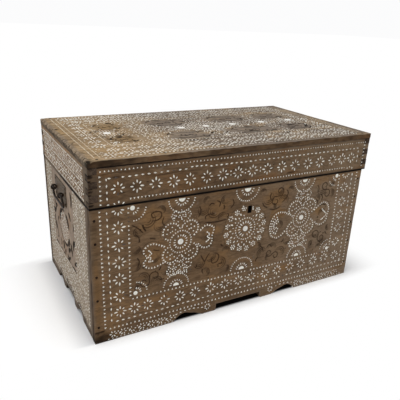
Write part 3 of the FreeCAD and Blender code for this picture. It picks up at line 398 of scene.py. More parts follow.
def iron(name, dark, pale, rust, rough, metallic, specular=0.5):
    """Old iron: dark scale, rubbed places and rust."""
    shader = Shader(name)
    scale = shader.noise((260, 260, 260), 5.0, 0.65, 0.6)
    pits = shader.noise((900, 900, 900), 3.0, 0.6, 0.0, (2, 3, 4))
    spots = shader.noise((75, 75, 75), 5.0, 0.7, 0.9, (8, 1, 6))
    colour = shader.mix(shader.step(scale, 0.35, 0.68), dark, pale)
    colour = shader.layer(colour, spots, 0.48, 0.66, 0.75, rust)
    colour = shader.layer(colour, pits, 0.55, 0.7, 0.6, dark)
    normal = shader.bump(shader.relief(scale, 0.5, pits), 0.7)
    return shader.finish(colour, shader.step(spots, 0.4, 0.7, *rough), normal, metallic, specular)


front_wood = wood("walnut_front", 0, srgb(80, 62, 46), srgb(112, 89, 66), srgb(138, 113, 86),
                  srgb(134, 115, 95), srgb(130, 100, 68), wear=0.45)
lid_front_wood = wood("walnut_lid_front", 0, srgb(70, 54, 40), srgb(102, 81, 61), srgb(128, 104, 79),
                      srgb(128, 108, 86), srgb(114, 82, 52), wear=0.5)
slab_wood = wood("walnut_slab", 0, srgb(102, 84, 64), srgb(150, 128, 100), srgb(174, 152, 120),
                 srgb(106, 96, 87), srgb(150, 125, 91), srgb(130, 120, 110), patch=0.35, turn=(-0.27, -0.05))
slab_edge = wood("walnut_slab_edge", 0, srgb(66, 48, 32), srgb(92, 70, 48), srgb(112, 88, 62),
                 srgb(96, 72, 48), srgb(104, 72, 42), wear=0.35)
side_wood = wood("walnut_end", 2, srgb(112, 98, 85), srgb(150, 133, 117), srgb(170, 153, 137),
                 warm=srgb(146, 117, 93), grey=srgb(142, 129, 111), wear=0.8, patch=0.35)
lid_side_wood = wood("walnut_lid_end", 1, srgb(92, 72, 54), srgb(132, 108, 84), srgb(150, 127, 102),
                     warm=srgb(150, 112, 74), grey=srgb(132, 120, 105), patch=0.35)
corner_wood = wood("walnut_corner", 2, srgb(66, 50, 37), srgb(94, 74, 56), srgb(112, 92, 73),
                   grey=srgb(100, 88, 75))
back_wood = wood("walnut_back", 0, srgb(70, 52, 38), srgb(92, 71, 52), srgb(112, 88, 64))
board_end = end_grain("walnut_end_grain", srgb(58, 46, 37), srgb(100, 86, 72))
finger_end = end_grain("walnut_finger_end", srgb(56, 46, 38), srgb(90, 75, 63))
slab_end = end_grain("walnut_slab_end", srgb(72, 62, 51), srgb(124, 110, 94))
dark_inside = inner_wood("inner_wood_long", 0, srgb(92, 70, 50), srgb(124, 98, 72))
dark_across = inner_wood("inner_wood_across", 1, srgb(92, 70, 50), srgb(124, 98, 72))
chip_pearl = pearl("chip_pearl", srgb(160, 152, 138), srgb(232, 231, 222), srgb(202, 196, 180))
large_pearl = solid_pearl("large_pearl", srgb(204, 202, 196), srgb(236, 234, 228), srgb(214, 204, 186))
bone = worn_string("bone_string", srgb(168, 154, 130), srgb(214, 204, 182), srgb(120, 98, 72))
aged_iron = iron("aged_iron", srgb(46, 38, 30), srgb(104, 90, 73), srgb(90, 66, 47), (0.6, 0.8), 0.2, 0.15)
bail_iron = iron("bail_iron", srgb(18, 14, 11), srgb(50, 41, 33), srgb(56, 39, 28), (0.5, 0.7), 0.3, 0.2)
nail_iron = iron("nail_iron", srgb(18, 13, 10), srgb(38, 28, 21), srgb(46, 30, 20), (0.85, 0.95), 0.0, 0.08)
lock_iron = iron("lock_iron", srgb(48, 44, 42), srgb(104, 99, 94), srgb(92, 64, 46), (0.4, 0.7), 0.75)

# Inlay


def round_outline(angles):
    """Points at angles in degrees on a circle of diameter 1."""
    return tuple((0.5 * math.cos(math.radians(a)), 0.5 * math.sin(math.radians(a))) for a in angles)


CHIP_SHAPES = {
    "triangle": ((-0.42, -0.5), (0.58, 0.0), (-0.42, 0.5)),
    "lozenge": ((-0.5, 0.0), (-0.06, -0.5), (0.5, 0.0), (-0.06, 0.5)),
    "petal": ((-0.5, 0.0), (-0.18, -0.42), (0.24, -0.4), (0.5, 0.0), (0.24, 0.4), (-0.18, 0.42)),
    "bar": ((-0.5, -0.5), (0.5, -0.5), (0.5, 0.5), (-0.5, 0.5)),
    "dot": round_outline(range(0, 360, 60)),
    "disc": round_outline(range(0, 360, 18)),
    "half": round_outline(range(0, 181, 15)),
}
CHIP_JITTER = 0.35
CHIP_TURN = 12.0
CHIP_SPREAD = 0.14
CHIP_LOST = 0.02
CHIP_ROOM = 0.36 / 1.4
CHIP_HIGHEST, CHIP_UNEVEN = 0.03, 0.1
DULLEST = 0.35
BUCKET = 12.0
FAN_PETAL = (5.4, 2.3)
FAN_TRIANGLE = (3.3, 3.1)
FILL_ROW = 0.87
FILL_JITTER = 0.8
FILL_TURN = 60


class Inlay:
    """Chips let into one face. Angles are in degrees, and a chip's length lies along its angle.
    Shine gives by place how bright the chips are."""

    def __init__(self, seed, shine=lambda u, v: 1.0):
        self.random = np.random.default_rng(seed)
        self.shine = shine
        self.chips = []
        self.buckets = {}
        self.bare = []

    def keep_bare(self, inside):
        """Leaves out every later chip whose place is inside."""
        self.bare.append(inside)

    def near(self, u, v):
        """The chips in the buckets round a place."""
        i, j = int(u // BUCKET), int(v // BUCKET)
        for a in (i - 1, i, i + 1):
            for b in (j - 1, j, j + 1):
                yield from self.buckets.get((a, b), ())

    def chip(self, kind, u, v, angle, length, width, only_free=False, exact=False, share=1.0):
        draw = self.random.random(6)
        reach = CHIP_ROOM * (length + width)
        if any(inside(u, v) for inside in self.bare):
            return
        if only_free and any(math.hypot(u - a, v - b) < reach + r for a, b, r in self.near(u, v)):
            return
        self.buckets.setdefault((int(u // BUCKET), int(v // BUCKET)), []).append((u, v, reach))
        if not exact:
            u += CHIP_JITTER * (2 * draw[0] - 1)
            v += CHIP_JITTER * (2 * draw[1] - 1)
            angle += CHIP_TURN * (2 * draw[2] - 1)
            size = 1 + CHIP_SPREAD * (2 * draw[3] - 1)
            length, width = length * size, width * size
        tone = 1.0 if exact else (DULLEST + (1 - DULLEST) * draw[5]) * self.shine(u, v) * share
        if draw[4] < CHIP_LOST and not exact:
            tone = 0.0
        self.chips.append((kind, u, v, math.radians(angle), length, width, tone))

    def row(self, kind, start, end, pitch, length, width, turn=0.0, **rules):
        """A straight row. Turn is the angle of a chip to the row's own direction."""
        du, dv = end[0] - start[0], end[1] - start[1]
        count = max(1, round(math.hypot(du, dv) / pitch))
        way = math.degrees(math.atan2(dv, du))
        for k in range(count + 1):
            u, v = start[0] + du * k / count, start[1] + dv * k / count
            self.chip(kind, u, v, way + turn, length, width, **rules)

    def rows(self, *runs):
        """Straight rows, each with its style, its start and end and its pitch."""
        for (kind, size, turn), start, end, pitch in runs:
            self.row(kind, start, end, pitch, *size, turn=turn)

    def ring(self, kind, centre, radius, count, length, width, arc=(0, 360), turn=0.0, **rules):
        """Chips round a circle or an arc of it, each along its own radius plus the turn."""
        whole = arc[1] - arc[0] == 360
        for k in range(count):
            angle = arc[0] + (arc[1] - arc[0]) * (k / count if whole else (k + 0.5) / count)
            u, v = polar(centre, radius, angle)
            self.chip(kind, u, v, angle + turn, length, width, **rules)

    def trail(self, kind, points, pitch, length, width, turn=90.0, **rules):
        """Chips along a smooth curve through the points."""
        spots = curve(points, pitch)
        for k, (u, v) in enumerate(spots):
            a, b = spots[max(k - 1, 0)], spots[min(k + 1, len(spots) - 1)]
            way = math.degrees(math.atan2(b[1] - a[1], b[0] - a[0]))
            self.chip(kind, u, v, way + turn, length, width, **rules)

    def rosette(self, centre, radius=14.0, **rules):
        """Four long petals and four short ones between them."""
        self.ring("petal", centre, radius * 0.72, 4, radius * 0.56, radius * 0.22, **rules)
        self.ring("petal", centre, radius * 0.66, 4, radius * 0.43, radius * 0.21, (45, 405), **rules)

    def fan(self, centre, arc, pearl_radius, petals, ring_radius, triangles):
        """A roundel cut by a border: a pearl, petals and a ring of triangles within an arc."""
        kind = "half" if arc[1] - arc[0] == 180 else "disc"
        angle = arc[0] if kind == "half" else 0.0
        self.chip(kind, *centre, angle, 2 * pearl_radius, 2 * pearl_radius, exact=True)
        self.ring("petal", centre, pearl_radius + 7, petals, *FAN_PETAL, arc)
        self.ring("triangle", centre, ring_radius, triangles, *FAN_TRIANGLE, arc)

    def fill(self, inside, low, high, pitch, length, width, share=1.0, way=None):
        """Small chips over a whole region, wherever there is still room for one. Without a way
        they lie at all angles."""
        kinds = ("dot", "petal", "triangle")
        rows = int((high[1] - low[1]) / (pitch * FILL_ROW))
        columns = int((high[0] - low[0]) / pitch)
        for j in range(rows + 1):
            for i in range(columns + 1):
                draw = self.random.random(5)
                u = low[0] + (i + 0.5 * (j % 2)) * pitch + (draw[0] - 0.5) * pitch * FILL_JITTER
                v = low[1] + j * pitch * FILL_ROW + (draw[1] - 0.5) * pitch * FILL_JITTER
                if inside(u, v):
                    kind = kinds[int(draw[2] * len(kinds))]
                    size = 0.75 + 0.5 * draw[3]
                    angle = 360 * draw[4] if way is None else way + FILL_TURN * (draw[4] - 0.5)
                    self.chip(kind, u, v, angle, length * size, width * size, only_free=True, share=share)

    def build(self, name, body, face):
        """One piece of all the chips: each has a foot in the wood, a rim and a bevelled top."""
        vertices, faces, tones = [], [], []
        for kind, u, v, angle, length, width, tone in self.chips:
            outline = np.array(CHIP_SHAPES[kind]) * (length, width)
            rim = outline * np.clip(1 - 2 * CHIP_RIM / np.array((length, width)), 0.3, 1)
            c, s = math.cos(angle), math.sin(angle)
            turned = np.array(((c, s), (-s, c)))
            depth = CHIP_HIGHEST + CHIP_UNEVEN * ((u * 7.3 + v * 3.1) % 1.0)
            rings = ((outline, CHIP_SUNK), (outline, depth + CHIP_RIM), (rim, depth))
            base, count = len(vertices), len(outline)
            for ring, sunk in rings:
                spots = ring @ turned + (u, v)
                vertices.extend(face.place(spots[:, 0], spots[:, 1], np.full(count, -sunk)).tolist())
            tones.extend([tone] * count * 3)
            for level in (base, base + count):
                for k in range(count):
                    k1 = (k + 1) % count
                    faces.append(face.turn((level + k, level + k1, level + count + k1, level + count + k)))
            faces.append(face.turn(range(base + 2 * count, base + 3 * count)))
            faces.append(face.turn(range(base + count - 1, base - 1, -1)))
        return mesh_piece(name, body, "pearl", vertices, faces, [chip_pearl], tone=tones)


# Carving


# The tip's size beside a cut's middle, degrees, turns, and half width and depth
TIP = 0.35
COMMA_BEND = 70.0
SCROLL_TURNS = 1.1
FINE_GROOVE = (1.1, 0.5)


class Carving:
    """Knife and gouge cuts in one face, each a run of places with a half width and a depth. The
    share is how much of their depth has not worn away."""

    def __init__(self, share=1.0):
        self.cuts = []
        self.share = share

    def stroke(self, points, half=1.7, deep=1.1, taper=(0.15, 0.15)):
        """One cut along a smooth curve. Taper gives the share of its length that each tip takes."""
        spots = curve(points, 0.6)
        share = np.linspace(0, 1, len(spots))
        rise = np.clip(share / max(taper[0], 0.001), 0, 1)
        fall = np.clip((1 - share) / max(taper[1], 0.001), 0, 1)
        size = TIP + (1 - TIP) * np.sqrt(np.minimum(rise, fall))
        self.cuts += [(u, v, half * s, self.share * deep * s) for (u, v), s in zip(spots, size)]

    def comma(self, place, size, angle, half=2.1):
        """A short bent cut, thick at its head and thin at its tail."""
        centre = polar(place, size, angle + 90)
        arc = [polar(centre, size, angle - 90 + COMMA_BEND * t) for t in (0, 0.33, 0.66, 1)]
        self.stroke(arc, half, 1.2, (0.1, 0.8))

    def scroll(self, place, size, angle, hand):
        """An S of two spirals that meet at its middle."""
        run = []
        for side in (1, -1):
            centre = polar(place, side * size / 2, angle)
            back = angle + (180 if side > 0 else 0)
            winding = []
            for t in np.linspace(0, 1, 9):
                radius = size / 2 * (1 - 0.72 * t)
                winding.append(polar(centre, radius, back + hand * 360 * SCROLL_TURNS * t))
            run = winding[::-1] + run if side > 0 else run + winding[1:]
        self.stroke(run, 1.6, 1.0, (0.08, 0.08))

    def dent(self, place, radius, deep):
        """A small round pit."""
        self.cuts.append((*place, radius, deep))

    def swirl(self, centre, size, angle, hand):
        """Three nested fine arcs, as in a curled leaf."""
        for k, share in enumerate((1.0, 0.68, 0.38)):
            start, reach = angle + 25 * k * hand, (230 - 50 * k) * hand
            arc = [polar(centre, size * share, start + reach * t) for t in np.linspace(0, 1, 7)]
            self.stroke(arc, 3.0, 0.22, (0.2, 0.5))
            self.stroke(arc, 1.4, 0.75, (0.2, 0.5))

    def outline(self, points, grow):
        """A fine groove round a run of places, at a scale about their middle."""
        spots = np.array(points, float)
        middle = (spots.min(axis=0) + spots.max(axis=0)) / 2
        self.stroke(middle + (spots - middle) * grow, *FINE_GROOVE)

    def age(self, seed, low, high, pits, cracks):
        """Small pits and short cracks along the grain, strewn over a face."""
        random = np.random.default_rng(seed)
        for place in random.uniform(low, high, (pits, 2)):
            self.dent(tuple(place), *random.uniform((0.8, 0.7), (1.7, 1.5)))
        for u, v in random.uniform(low, high, (cracks, 2)):
            length, rise, half = random.uniform((6, -1.2, 0.7), (34, 1.2, 1.1))
            end = min(u + length, high[0])
            self.stroke(((u, v), ((u + end) / 2, v + 0.5 * rise), (end, v + rise)), half, 0.5, (0.4, 0.5))


# Boards

APRON_BLEND = 46.0
APRON_HEIGHT = 17.0
LOBE_ROUND = 6.0
FRONT_FOOT, FRONT_ARCH, FRONT_LOBE = 184.0, 78.0, 34.0
END_FOOT, END_ARCH, END_LOBE = 93.0, 55.0, 19.0


class Grid:
    """Lines over a face, with the lower rows bent to follow the apron."""

    def __init__(self, u_lines, v_lines, foot=None):
        self.u_lines, self.v_lines = np.array(u_lines), np.array(v_lines)
        self.u, self.v = np.meshgrid(self.u_lines, self.v_lines, indexing="ij")
        self.bent = 0.0
        if foot is not None:
            rise = foot(self.u_lines)[:, None]
            self.bent = float(rise.max())
            self.v = self.v + rise * np.clip(1 - self.v / APRON_BLEND, 0, 1)

    def window(self, u, v, reach):
        """The part of the grid that holds everything within reach of a place."""
        low_u, high_u = np.searchsorted(self.u_lines, (u - reach, u + reach))
        low_v, high_v = np.searchsorted(self.v_lines, (v - reach - self.bent, v + reach))
        return slice(low_u, high_u), slice(low_v, high_v)

    def distance(self, spots, reach):
        """Distance of every crossing to the nearest spot, at most the reach."""
        field = np.full(self.u.shape, float(reach))
        for u, v in spots:
            part = self.window(u, v, reach)
            field[part] = np.minimum(field[part], np.hypot(self.u[part] - u, self.v[part] - v))
        return field

    def carved(self, cuts):
        """Depth of every crossing: that of the deepest cut there."""
        depth = np.zeros(self.u.shape)
        for u, v, half, deep in cuts:
            part = self.window(u, v, half)
            far = ((self.u[part] - u) ** 2 + (self.v[part] - v) ** 2) / half ** 2
            depth[part] = np.maximum(depth[part], deep * np.clip(1 - far, 0, 1))
        return depth


RIM_STEPS = (0.0, 0.35, 0.9, 1.8, 3.2)
MARK_STEPS = (-0.9, -0.35, 0.0, 0.35, 0.9)
BORDER_REACH = 10.0
SMALLEST_ROUND = 0.12
GROUND_DEPTH = 0.55
DIRTY_DEPTH = 0.45
GROUND_DIRT = 0.12
# Depths over which the cores of cuts turn to painted shade
PAINTED_SHADE_DEPTHS = (0.7, 1.5)
WALL_LEVELS = (0.0, 0.3, 0.65, 0.9, 1.0)
WALL_WORN = 0.3
SHARP_ANGLE = 50


def lines(low, high, step=5.0, fine=None, fine_step=1.3, marks=()):
    """Grid lines from low to high: close at the rims and in the fine stretch, wide elsewhere."""
    spots = [low + s for s in RIM_STEPS] + [high - s for s in RIM_STEPS]
    for mark in marks:
        spots += [mark + s for s in MARK_STEPS]
    place = low + RIM_STEPS[-1]
    while place < high - RIM_STEPS[-1]:
        if all(abs(place - mark) > 1.2 for mark in marks):
            spots.append(place)
        inside = fine is not None and fine[0] <= place < fine[1]
        place += fine_step if inside else step
    spots.sort()
    result = [spots[0]]
    for spot in spots[1:]:
        if spot - result[-1] > 0.25:
            result.append(spot)
    result[-1] = high
    return result


def rim_loop(kept):
    """The outline of the kept cells as grid crossings, counter-clockwise."""
    padded = np.pad(kept, 1)
    follow = {}
    above, below = padded[1:-1, 1:], padded[1:-1, :-1]
    for i, j in zip(*np.nonzero(above & ~below)):
        follow[(i, j)] = (i + 1, j)
    for i, j in zip(*np.nonzero(below & ~above)):
        follow[(i + 1, j)] = (i, j)
    right, left = padded[1:, 1:-1], padded[:-1, 1:-1]
    for i, j in zip(*np.nonzero(left & ~right)):
        follow[(i, j)] = (i, j + 1)
    for i, j in zip(*np.nonzero(right & ~left)):
        follow[(i, j + 1)] = (i, j)
    start = next(iter(follow))
    loop = [start]
    while follow[loop[-1]] != start:
        loop.append(follow[loop[-1]])
    return np.array(loop)


def kept_cells(grid, gaps):
    """Which cells of a grid are left when those in the gaps are cut out."""
    kept = np.ones((len(grid.u_lines) - 1, len(grid.v_lines) - 1), bool)
    middle_u = (grid.u_lines[1:] + grid.u_lines[:-1]) / 2
    middle_v = (grid.v_lines[1:] + grid.v_lines[:-1]) / 2
    for u0, u1, v0, v1 in gaps:
        kept &= ~np.outer((middle_u > u0) & (middle_u < u1), (middle_v > v0) & (middle_v < v1))
    return kept


def kept_crossings(kept):
    """Which crossings are a corner of a kept cell."""
    used = np.zeros((kept.shape[0] + 1, kept.shape[1] + 1), bool)
    for di in (0, 1):
        for dj in (0, 1):
            used[di:kept.shape[0] + di, dj:kept.shape[1] + dj] |= kept
    return used


def close_places(rim, step=0.8):
    """Places all round a rim, about a step apart where it has long straight sides."""
    dense = []
    for a, b in zip(rim, np.roll(rim, -1, axis=0)):
        count = max(1, int(np.hypot(*(b - a)) / step))
        dense += [a + (b - a) * k / count for k in range(count)]
    return dense


def rim_ways(rim):
    """For each place of a rim its way into the board, mitred, and whether the side after it is an end."""
    run = np.roll(rim, -1, axis=0) - rim
    run /= np.maximum(np.hypot(*run.T), 1e-6)[:, None]
    left = np.column_stack((-run[:, 1], run[:, 0]))
    mitre = left + np.roll(left, 1, axis=0)
    mitre /= np.maximum(np.sum(mitre * left, axis=1), 0.35)[:, None]
    return mitre, np.abs(left[:, 0]) > 0.7


def board(node, body, face, grid, thick, edge, woods, gaps=(), cuts=(), ground=None, chips=(),
          under_edge=0.0, seed=1, edge_share=None, wear=None, shade=None, tint=None):
    """A closed board in place of its CAD node: a carved and worn face, sides, and a flat inside.
    Woods are the materials of the face, of the ends, of the inside and of the long sides. By place,
    edge share scales the rounding, wear greys the wood, shade paints shade at joints and darkens the tone
    elsewhere, and tint warms it."""
    u, v = grid.u, grid.v
    kept = kept_cells(grid, gaps)
    loop = rim_loop(kept)
    at_rim = tuple(loop.T)
    rim = np.column_stack((u[at_rim], v[at_rim]))

    # The face's height, and how dirty, worn, dark and warm it is
    border = grid.distance(close_places(rim), BORDER_REACH)
    radius = edge * (0.55 + 0.9 * noise(u, v, 23, seed) * noise(u, v, 7, seed + 1) * 1.6)
    radius = np.minimum(radius, edge * 1.5)
    if edge_share is not None:
        radius = np.maximum(radius * edge_share(u, v), SMALLEST_ROUND)
    inward = np.clip(border / radius, 0, 1)
    drop = radius * (1 - np.sqrt(1 - (1 - inward) ** 2))
    depth = grid.carved(cuts)
    lowered = np.zeros(u.shape)
    if ground is not None:
        clear = grid.distance([(chip[1], chip[2]) for chip in chips], 8)
        lowered = GROUND_DEPTH * smooth(clear, 3.6, 6.0) * ground(u, v)
    ripple = 0.16 * noise(u, v, 19, seed + 2) + 0.07 * noise(u, v, 5, seed + 3)
    height = -(SKIN + drop + depth + lowered + ripple * inward)
    dirt = np.clip(depth / DIRTY_DEPTH, 0, 1)
    dirt = np.maximum(dirt, GROUND_DIRT * smooth(lowered, 0.1, 0.5) * noise(u, v, 6, seed + 4))
    worn = (1 - smooth(border, 0.6, 2.2 * edge + 4)) * (0.3 + 0.7 * noise(u, v, 9, seed + 5))
    if edge_share is not None:
        worn = worn * np.clip(edge_share(u, v), 0, 1)
    rim_worn = np.full(len(rim), WALL_WORN)
    if wear is not None:
        worn = np.maximum(worn, wear(u, v))
        rim_worn = np.maximum(rim_worn, wear(*rim.T))
    # Painted shade at joints and under the slab, and a darker tone in places
    painted_shade_and_dark_tone = np.zeros(u.shape) if shade is None else shade(u, v)
    # Painted shade in the cores of deep cuts
    painted_shade_and_dark_tone = np.maximum(painted_shade_and_dark_tone, 0.7 * smooth(depth, *PAINTED_SHADE_DEPTHS))
    warm = np.zeros(u.shape) if tint is None else tint(u, v)

    used = kept_crossings(kept)
    number = np.full(u.shape, -1)
    number[used] = np.arange(used.sum())
    vertices = [face.place(u[used], v[used], height[used])]
    values = {"dirt": [dirt[used]], "worn": [worn[used]], "painted_shade_and_dark_tone": [painted_shade_and_dark_tone[used]], "tint": [warm[used]]}
    i, j = np.nonzero(kept)
    quads = np.column_stack((number[i, j], number[i + 1, j], number[i + 1, j + 1], number[i, j + 1]))
    faces = [face.turn(quad) for quad in quads.tolist()]
    kinds = [0] * len(faces)

    # The sides, level by level from the face to the inside
    mitre, is_end = rim_ways(rim)
    row = number[at_rim]
    start = -height[at_rim]
    at_seam = np.abs(rim[:, 1] - SEAM) < 0.1
    total = int(used.sum())
    count = len(rim)
    for k, level in enumerate(WALL_LEVELS):
        sunk = start + 0.3 + (thick - start - 0.3) * level
        rough = 0.08 + 0.3 * noise(rim[:, 0] + 31 * k, rim[:, 1] + sunk, 8, seed + 6)
        if k == len(WALL_LEVELS) - 1:
            rough = rough + under_edge
        spots = rim + mitre * rough[:, None]
        vertices.append(face.place(spots[:, 0], spots[:, 1], -sunk))
        stains = noise(rim[:, 0], rim[:, 1] + 9 * k, 12, seed + 7)
        values["dirt"].append(0.55 * smooth(stains, 0.45, 0.9))
        values["worn"].append(rim_worn)
        # On the rims at the joint the painted shade fades from the face inwards
        values["painted_shade_and_dark_tone"].append(np.where(at_seam, painted_shade_and_dark_tone[at_rim] * (1 - smooth(level, 0, 0.3)), painted_shade_and_dark_tone[at_rim]))
        values["tint"].append(warm[at_rim])
        fresh = np.arange(total, total + count)
        total += count
        for m in range(count):
            m1 = (m + 1) % count
            faces.append(face.turn((row[m], fresh[m], fresh[m1], row[m1])))
            kinds.append(1 if is_end[m] else 3)
        row = fresh
    faces.append(face.turn(row[::-1].tolist()))
    kinds.append(2)
    values = {key: np.concatenate(parts) for key, parts in values.items()}
    vertices = np.vstack(vertices).tolist()
    piece = mesh_piece(node + "_wood", body, "inlaid_walnut", vertices, faces, woods, kinds, **values)
    piece.data.shade_smooth()
    piece.data.set_sharp_from_angle(angle=math.radians(SHARP_ANGLE))
    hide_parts(node)
    return piece


def apron_rise(foot, arch, lobe, height, width):
    """Height of a board's lower edge: a foot, an arch, a lobe and a straight opening, mirrored."""
    crown, turn_share, turn_rise = 0.36, 0.7, 0.6

    def rise(u):
        near = np.minimum(u, width - u) - foot
        climb = np.sin(np.clip(near / (crown * arch), 0, 1) * math.pi / 2) ** 0.75
        fall = 1 - (1 - turn_rise) * smooth(near, crown * arch, turn_share * arch) - turn_rise * smooth(
            near, turn_share * arch * 0.92, arch)
        curved = height * np.where(near < crown * arch, climb, fall)
        curved = np.where((near > 0) & (near < arch), curved, 0.0)
        gone = near - arch - lobe
        corner = LOBE_ROUND * (1 - np.sqrt(np.clip(1 - ((gone + LOBE_ROUND) / LOBE_ROUND) ** 2, 0, 1)))
        curved = np.where((gone > -LOBE_ROUND) & (gone <= 0), corner, curved)
        return np.where(gone > 0, height, curved)

    return rise


def opening_marks(foot, arch, lobe, width):
    """Where the straight opening starts and ends."""
    start = foot + arch + lobe
    return start, width - start


# Front of the body

pearl_low, pearl_high = corners("front_pearls")
PEARL_RADIUS = (pearl_high[2] - pearl_low[2]) / 2
PEARL_V = (pearl_low[2] + pearl_high[2]) / 2
PEARL_FIRST = pearl_low[0] + PEARL_RADIUS - LEFT
PEARL_LAST = pearl_high[0] - PEARL_RADIUS - LEFT
PEARL_PLACES = [(u, PEARL_V) for u in (PEARL_FIRST, (PEARL_FIRST + PEARL_LAST) / 2, PEARL_LAST)]
plate_low, plate_high = corners("lock_plate")
post_low, post_high = corners("lock_key_post")
KEYHOLE_U = (plate_low[0] + plate_high[0]) / 2 - LEFT
KEYHOLE_V = (post_low[2] + post_high[2]) / 2
KEYHOLE_RADIUS, KEYHOLE_SLOT, KEYHOLE_DROP = 5.2, 7.0, 13.0
CUTTER_PAST = 4
CUT_EDGE = 0.1

TRIANGLE = (4.3, 3.9)
SMALL = (3.2, 3.0)
LOZENGE = (7.2, 3.2)
PETAL = (5.4, 2.5)
MIDDLING = (3.8, 3.6)

# Styles of rows: the chips point to one side of the row's own direction or lie along it
TO_LEFT = ("triangle", TRIANGLE, 90)
TO_RIGHT = ("triangle", TRIANGLE, -90)
SMALL_TO_LEFT = ("triangle", SMALL, 90)
MIDDLING_TO_RIGHT = ("triangle", MIDDLING, -90)
ALONG = ("lozenge", LOZENGE, 0)

# The carved field's low u, high u, low v and high v
FIELD = (82.0, 642.0, 91.0, 306.0)
# How far a medallion's loops are from its middle
LOOP_APART = (22.5, 27)

LEFT_HOOK = ((157, 199), (146, 205), (133, 211), (119, 208), (110, 196), (118, 181), (110, 169), (118, 158),
             (132, 155), (145, 158), (155, 161))
LEFT_CURL = ((122, 197), (128, 190), (121, 183), (127, 178), (121, 171), (130, 171))
RIGHT_HOOK = ((244, 223), (257, 232), (270, 229), (279, 221), (275, 202), (274, 187), (265, 177), (250, 179),
              (240, 189))
RIGHT_CURL = ((262, 214), (268, 208), (262, 202), (269, 198), (261, 191))
ROUND_HOOK = ((489, 219), (475, 227), (458, 227), (444, 218), (437, 196), (442, 172), (458, 162), (472, 166),
              (483, 175))
TALL_HOOK = ((573, 219), (586, 228), (600, 235), (614, 229), (622, 214), (620, 195), (616, 180), (600, 173),
             (586, 177), (580, 182))
TALL_CURL = ((600, 216), (607, 208), (616, 200), (608, 191), (601, 187))


def lobed_medallion(inlay, centre, necks):
    """The pearl's petals and ring, four dotted loops round them, and necks below and above."""
    centre_u, centre_v = centre
    inlay.ring("petal", centre, 15, 16, *PETAL)
    inlay.ring("triangle", centre, 26, 27, 3.6, 3.3)
    for side in (-1, 1):
        for up in (-1, 1):
            loop_centre = (centre_u + LOOP_APART[0] * side, centre_v + LOOP_APART[1] * up)
            for k in range(19):
                u, v = polar(loop_centre, 20, 19 * k)
                if math.hypot(u - centre_u, v - centre_v) > 30 and (u - centre_u) * side > 5:
                    inlay.chip("triangle", u, v, 19 * k, *TRIANGLE, only_free=True)
            for radius, count in ((2.5, 2), (10.5, 6)):
                for k in range(count):
                    u, v = polar(loop_centre, radius, 360 / count * k + 20)
                    if math.hypot(u - centre_u, v - centre_v) > 31:
                        inlay.chip("dot", u, v, 0, *SMALL, only_free=True)
    for side in (-1, 1):
        for near, far, lean in ((33, 48, -20), (-33, -46, 20)):
            start, end = (centre_u + 3 * side, centre_v + near), (centre_u + 7 * side, centre_v + far)
            inlay.row("petal", start, end, 5, 4.6, 2.2, turn=lean * side, only_free=True)
    inlay.ring("dot", (centre_u - 24, centre_v - 69), 8, 9, *SMALL)
    inlay.ring("dot", (centre_u + 9, centre_v - 68), 9, 10, *SMALL)
    for side in (-1, 1):
        neck = [(centre_u + side * u, centre_v + v) for u, v in ((17, 52), (22, 60), (22, 65), (17, 71))]
        inlay.trail("triangle", neck, 5.6, *SMALL)
    low_v, high_v = centre_v - 80, centre_v + 74
    spread_low, spread_high = necks

    def in_neck(u, v):
        away = abs(u - centre_u)
        above = centre_v + 50 < v < high_v and away < spread_high
        below = low_v < v < centre_v - 45 and away < spread_low
        return above or below

    inlay.fill(in_neck, (centre_u - 32, low_v), (centre_u + 32, high_v), 6.8, 4.4, 2.7)


def great_rosette(inlay, centre):
    """The middle pearl's rings, and sixteen small clusters round them."""
    inlay.ring("petal", centre, 17, 16, 8.0, 2.7)
    inlay.ring("dot", centre, 27, 26, *SMALL)
    inlay.ring("petal", centre, 34.5, 16, 4.4, 2.2, (11, 371))
    inlay.ring("petal", centre, 41, 16, 6.6, 3.8)
    for k in range(16):
        spot = polar(centre, 52.5 - 2 * (k % 2), 22.5 * k + 8)
        inlay.chip("dot", *spot, 0, *SMALL)
        kind = "dot" if k % 3 else "petal"
        inlay.ring(kind, spot, 5.2, 6, 3.9, 3.2, (30 * k, 30 * k + 360), only_free=True)


# Centre, arc, radius of the pearl, petals, radius of the ring and its triangles
FRONT_FANS = (
    ((197, 304), (180, 360), 7.5, 8, 31, 17),
    ((363, 304), (180, 360), 8.5, 8, 31, 17),
    ((530, 304), (180, 360), 7.0, 8, 31, 17),
    ((187.5, 97), (0, 180), 7.0, 8, 31, 17),
    ((362, 97.5), (0, 180), 7.5, 8, 31, 17),
    ((531, 96.5), (0, 180), 7.0, 8, 31, 17),
    ((87, 299.5), (270, 360), 5.0, 4, 29, 8),
    ((91.5, 103), (0, 90), 4.6, 4, 26, 7),
    ((634, 301), (180, 270), 4.8, 4, 26, 7),
    ((636, 97), (90, 180), 4.6, 4, 25, 7),
)
ARCHES = (
    ((190, 19), (212, 23.5), (236, 23), (258, 19)),
    ((526, 19), (506, 23), (486, 23), (462, 20)),
)


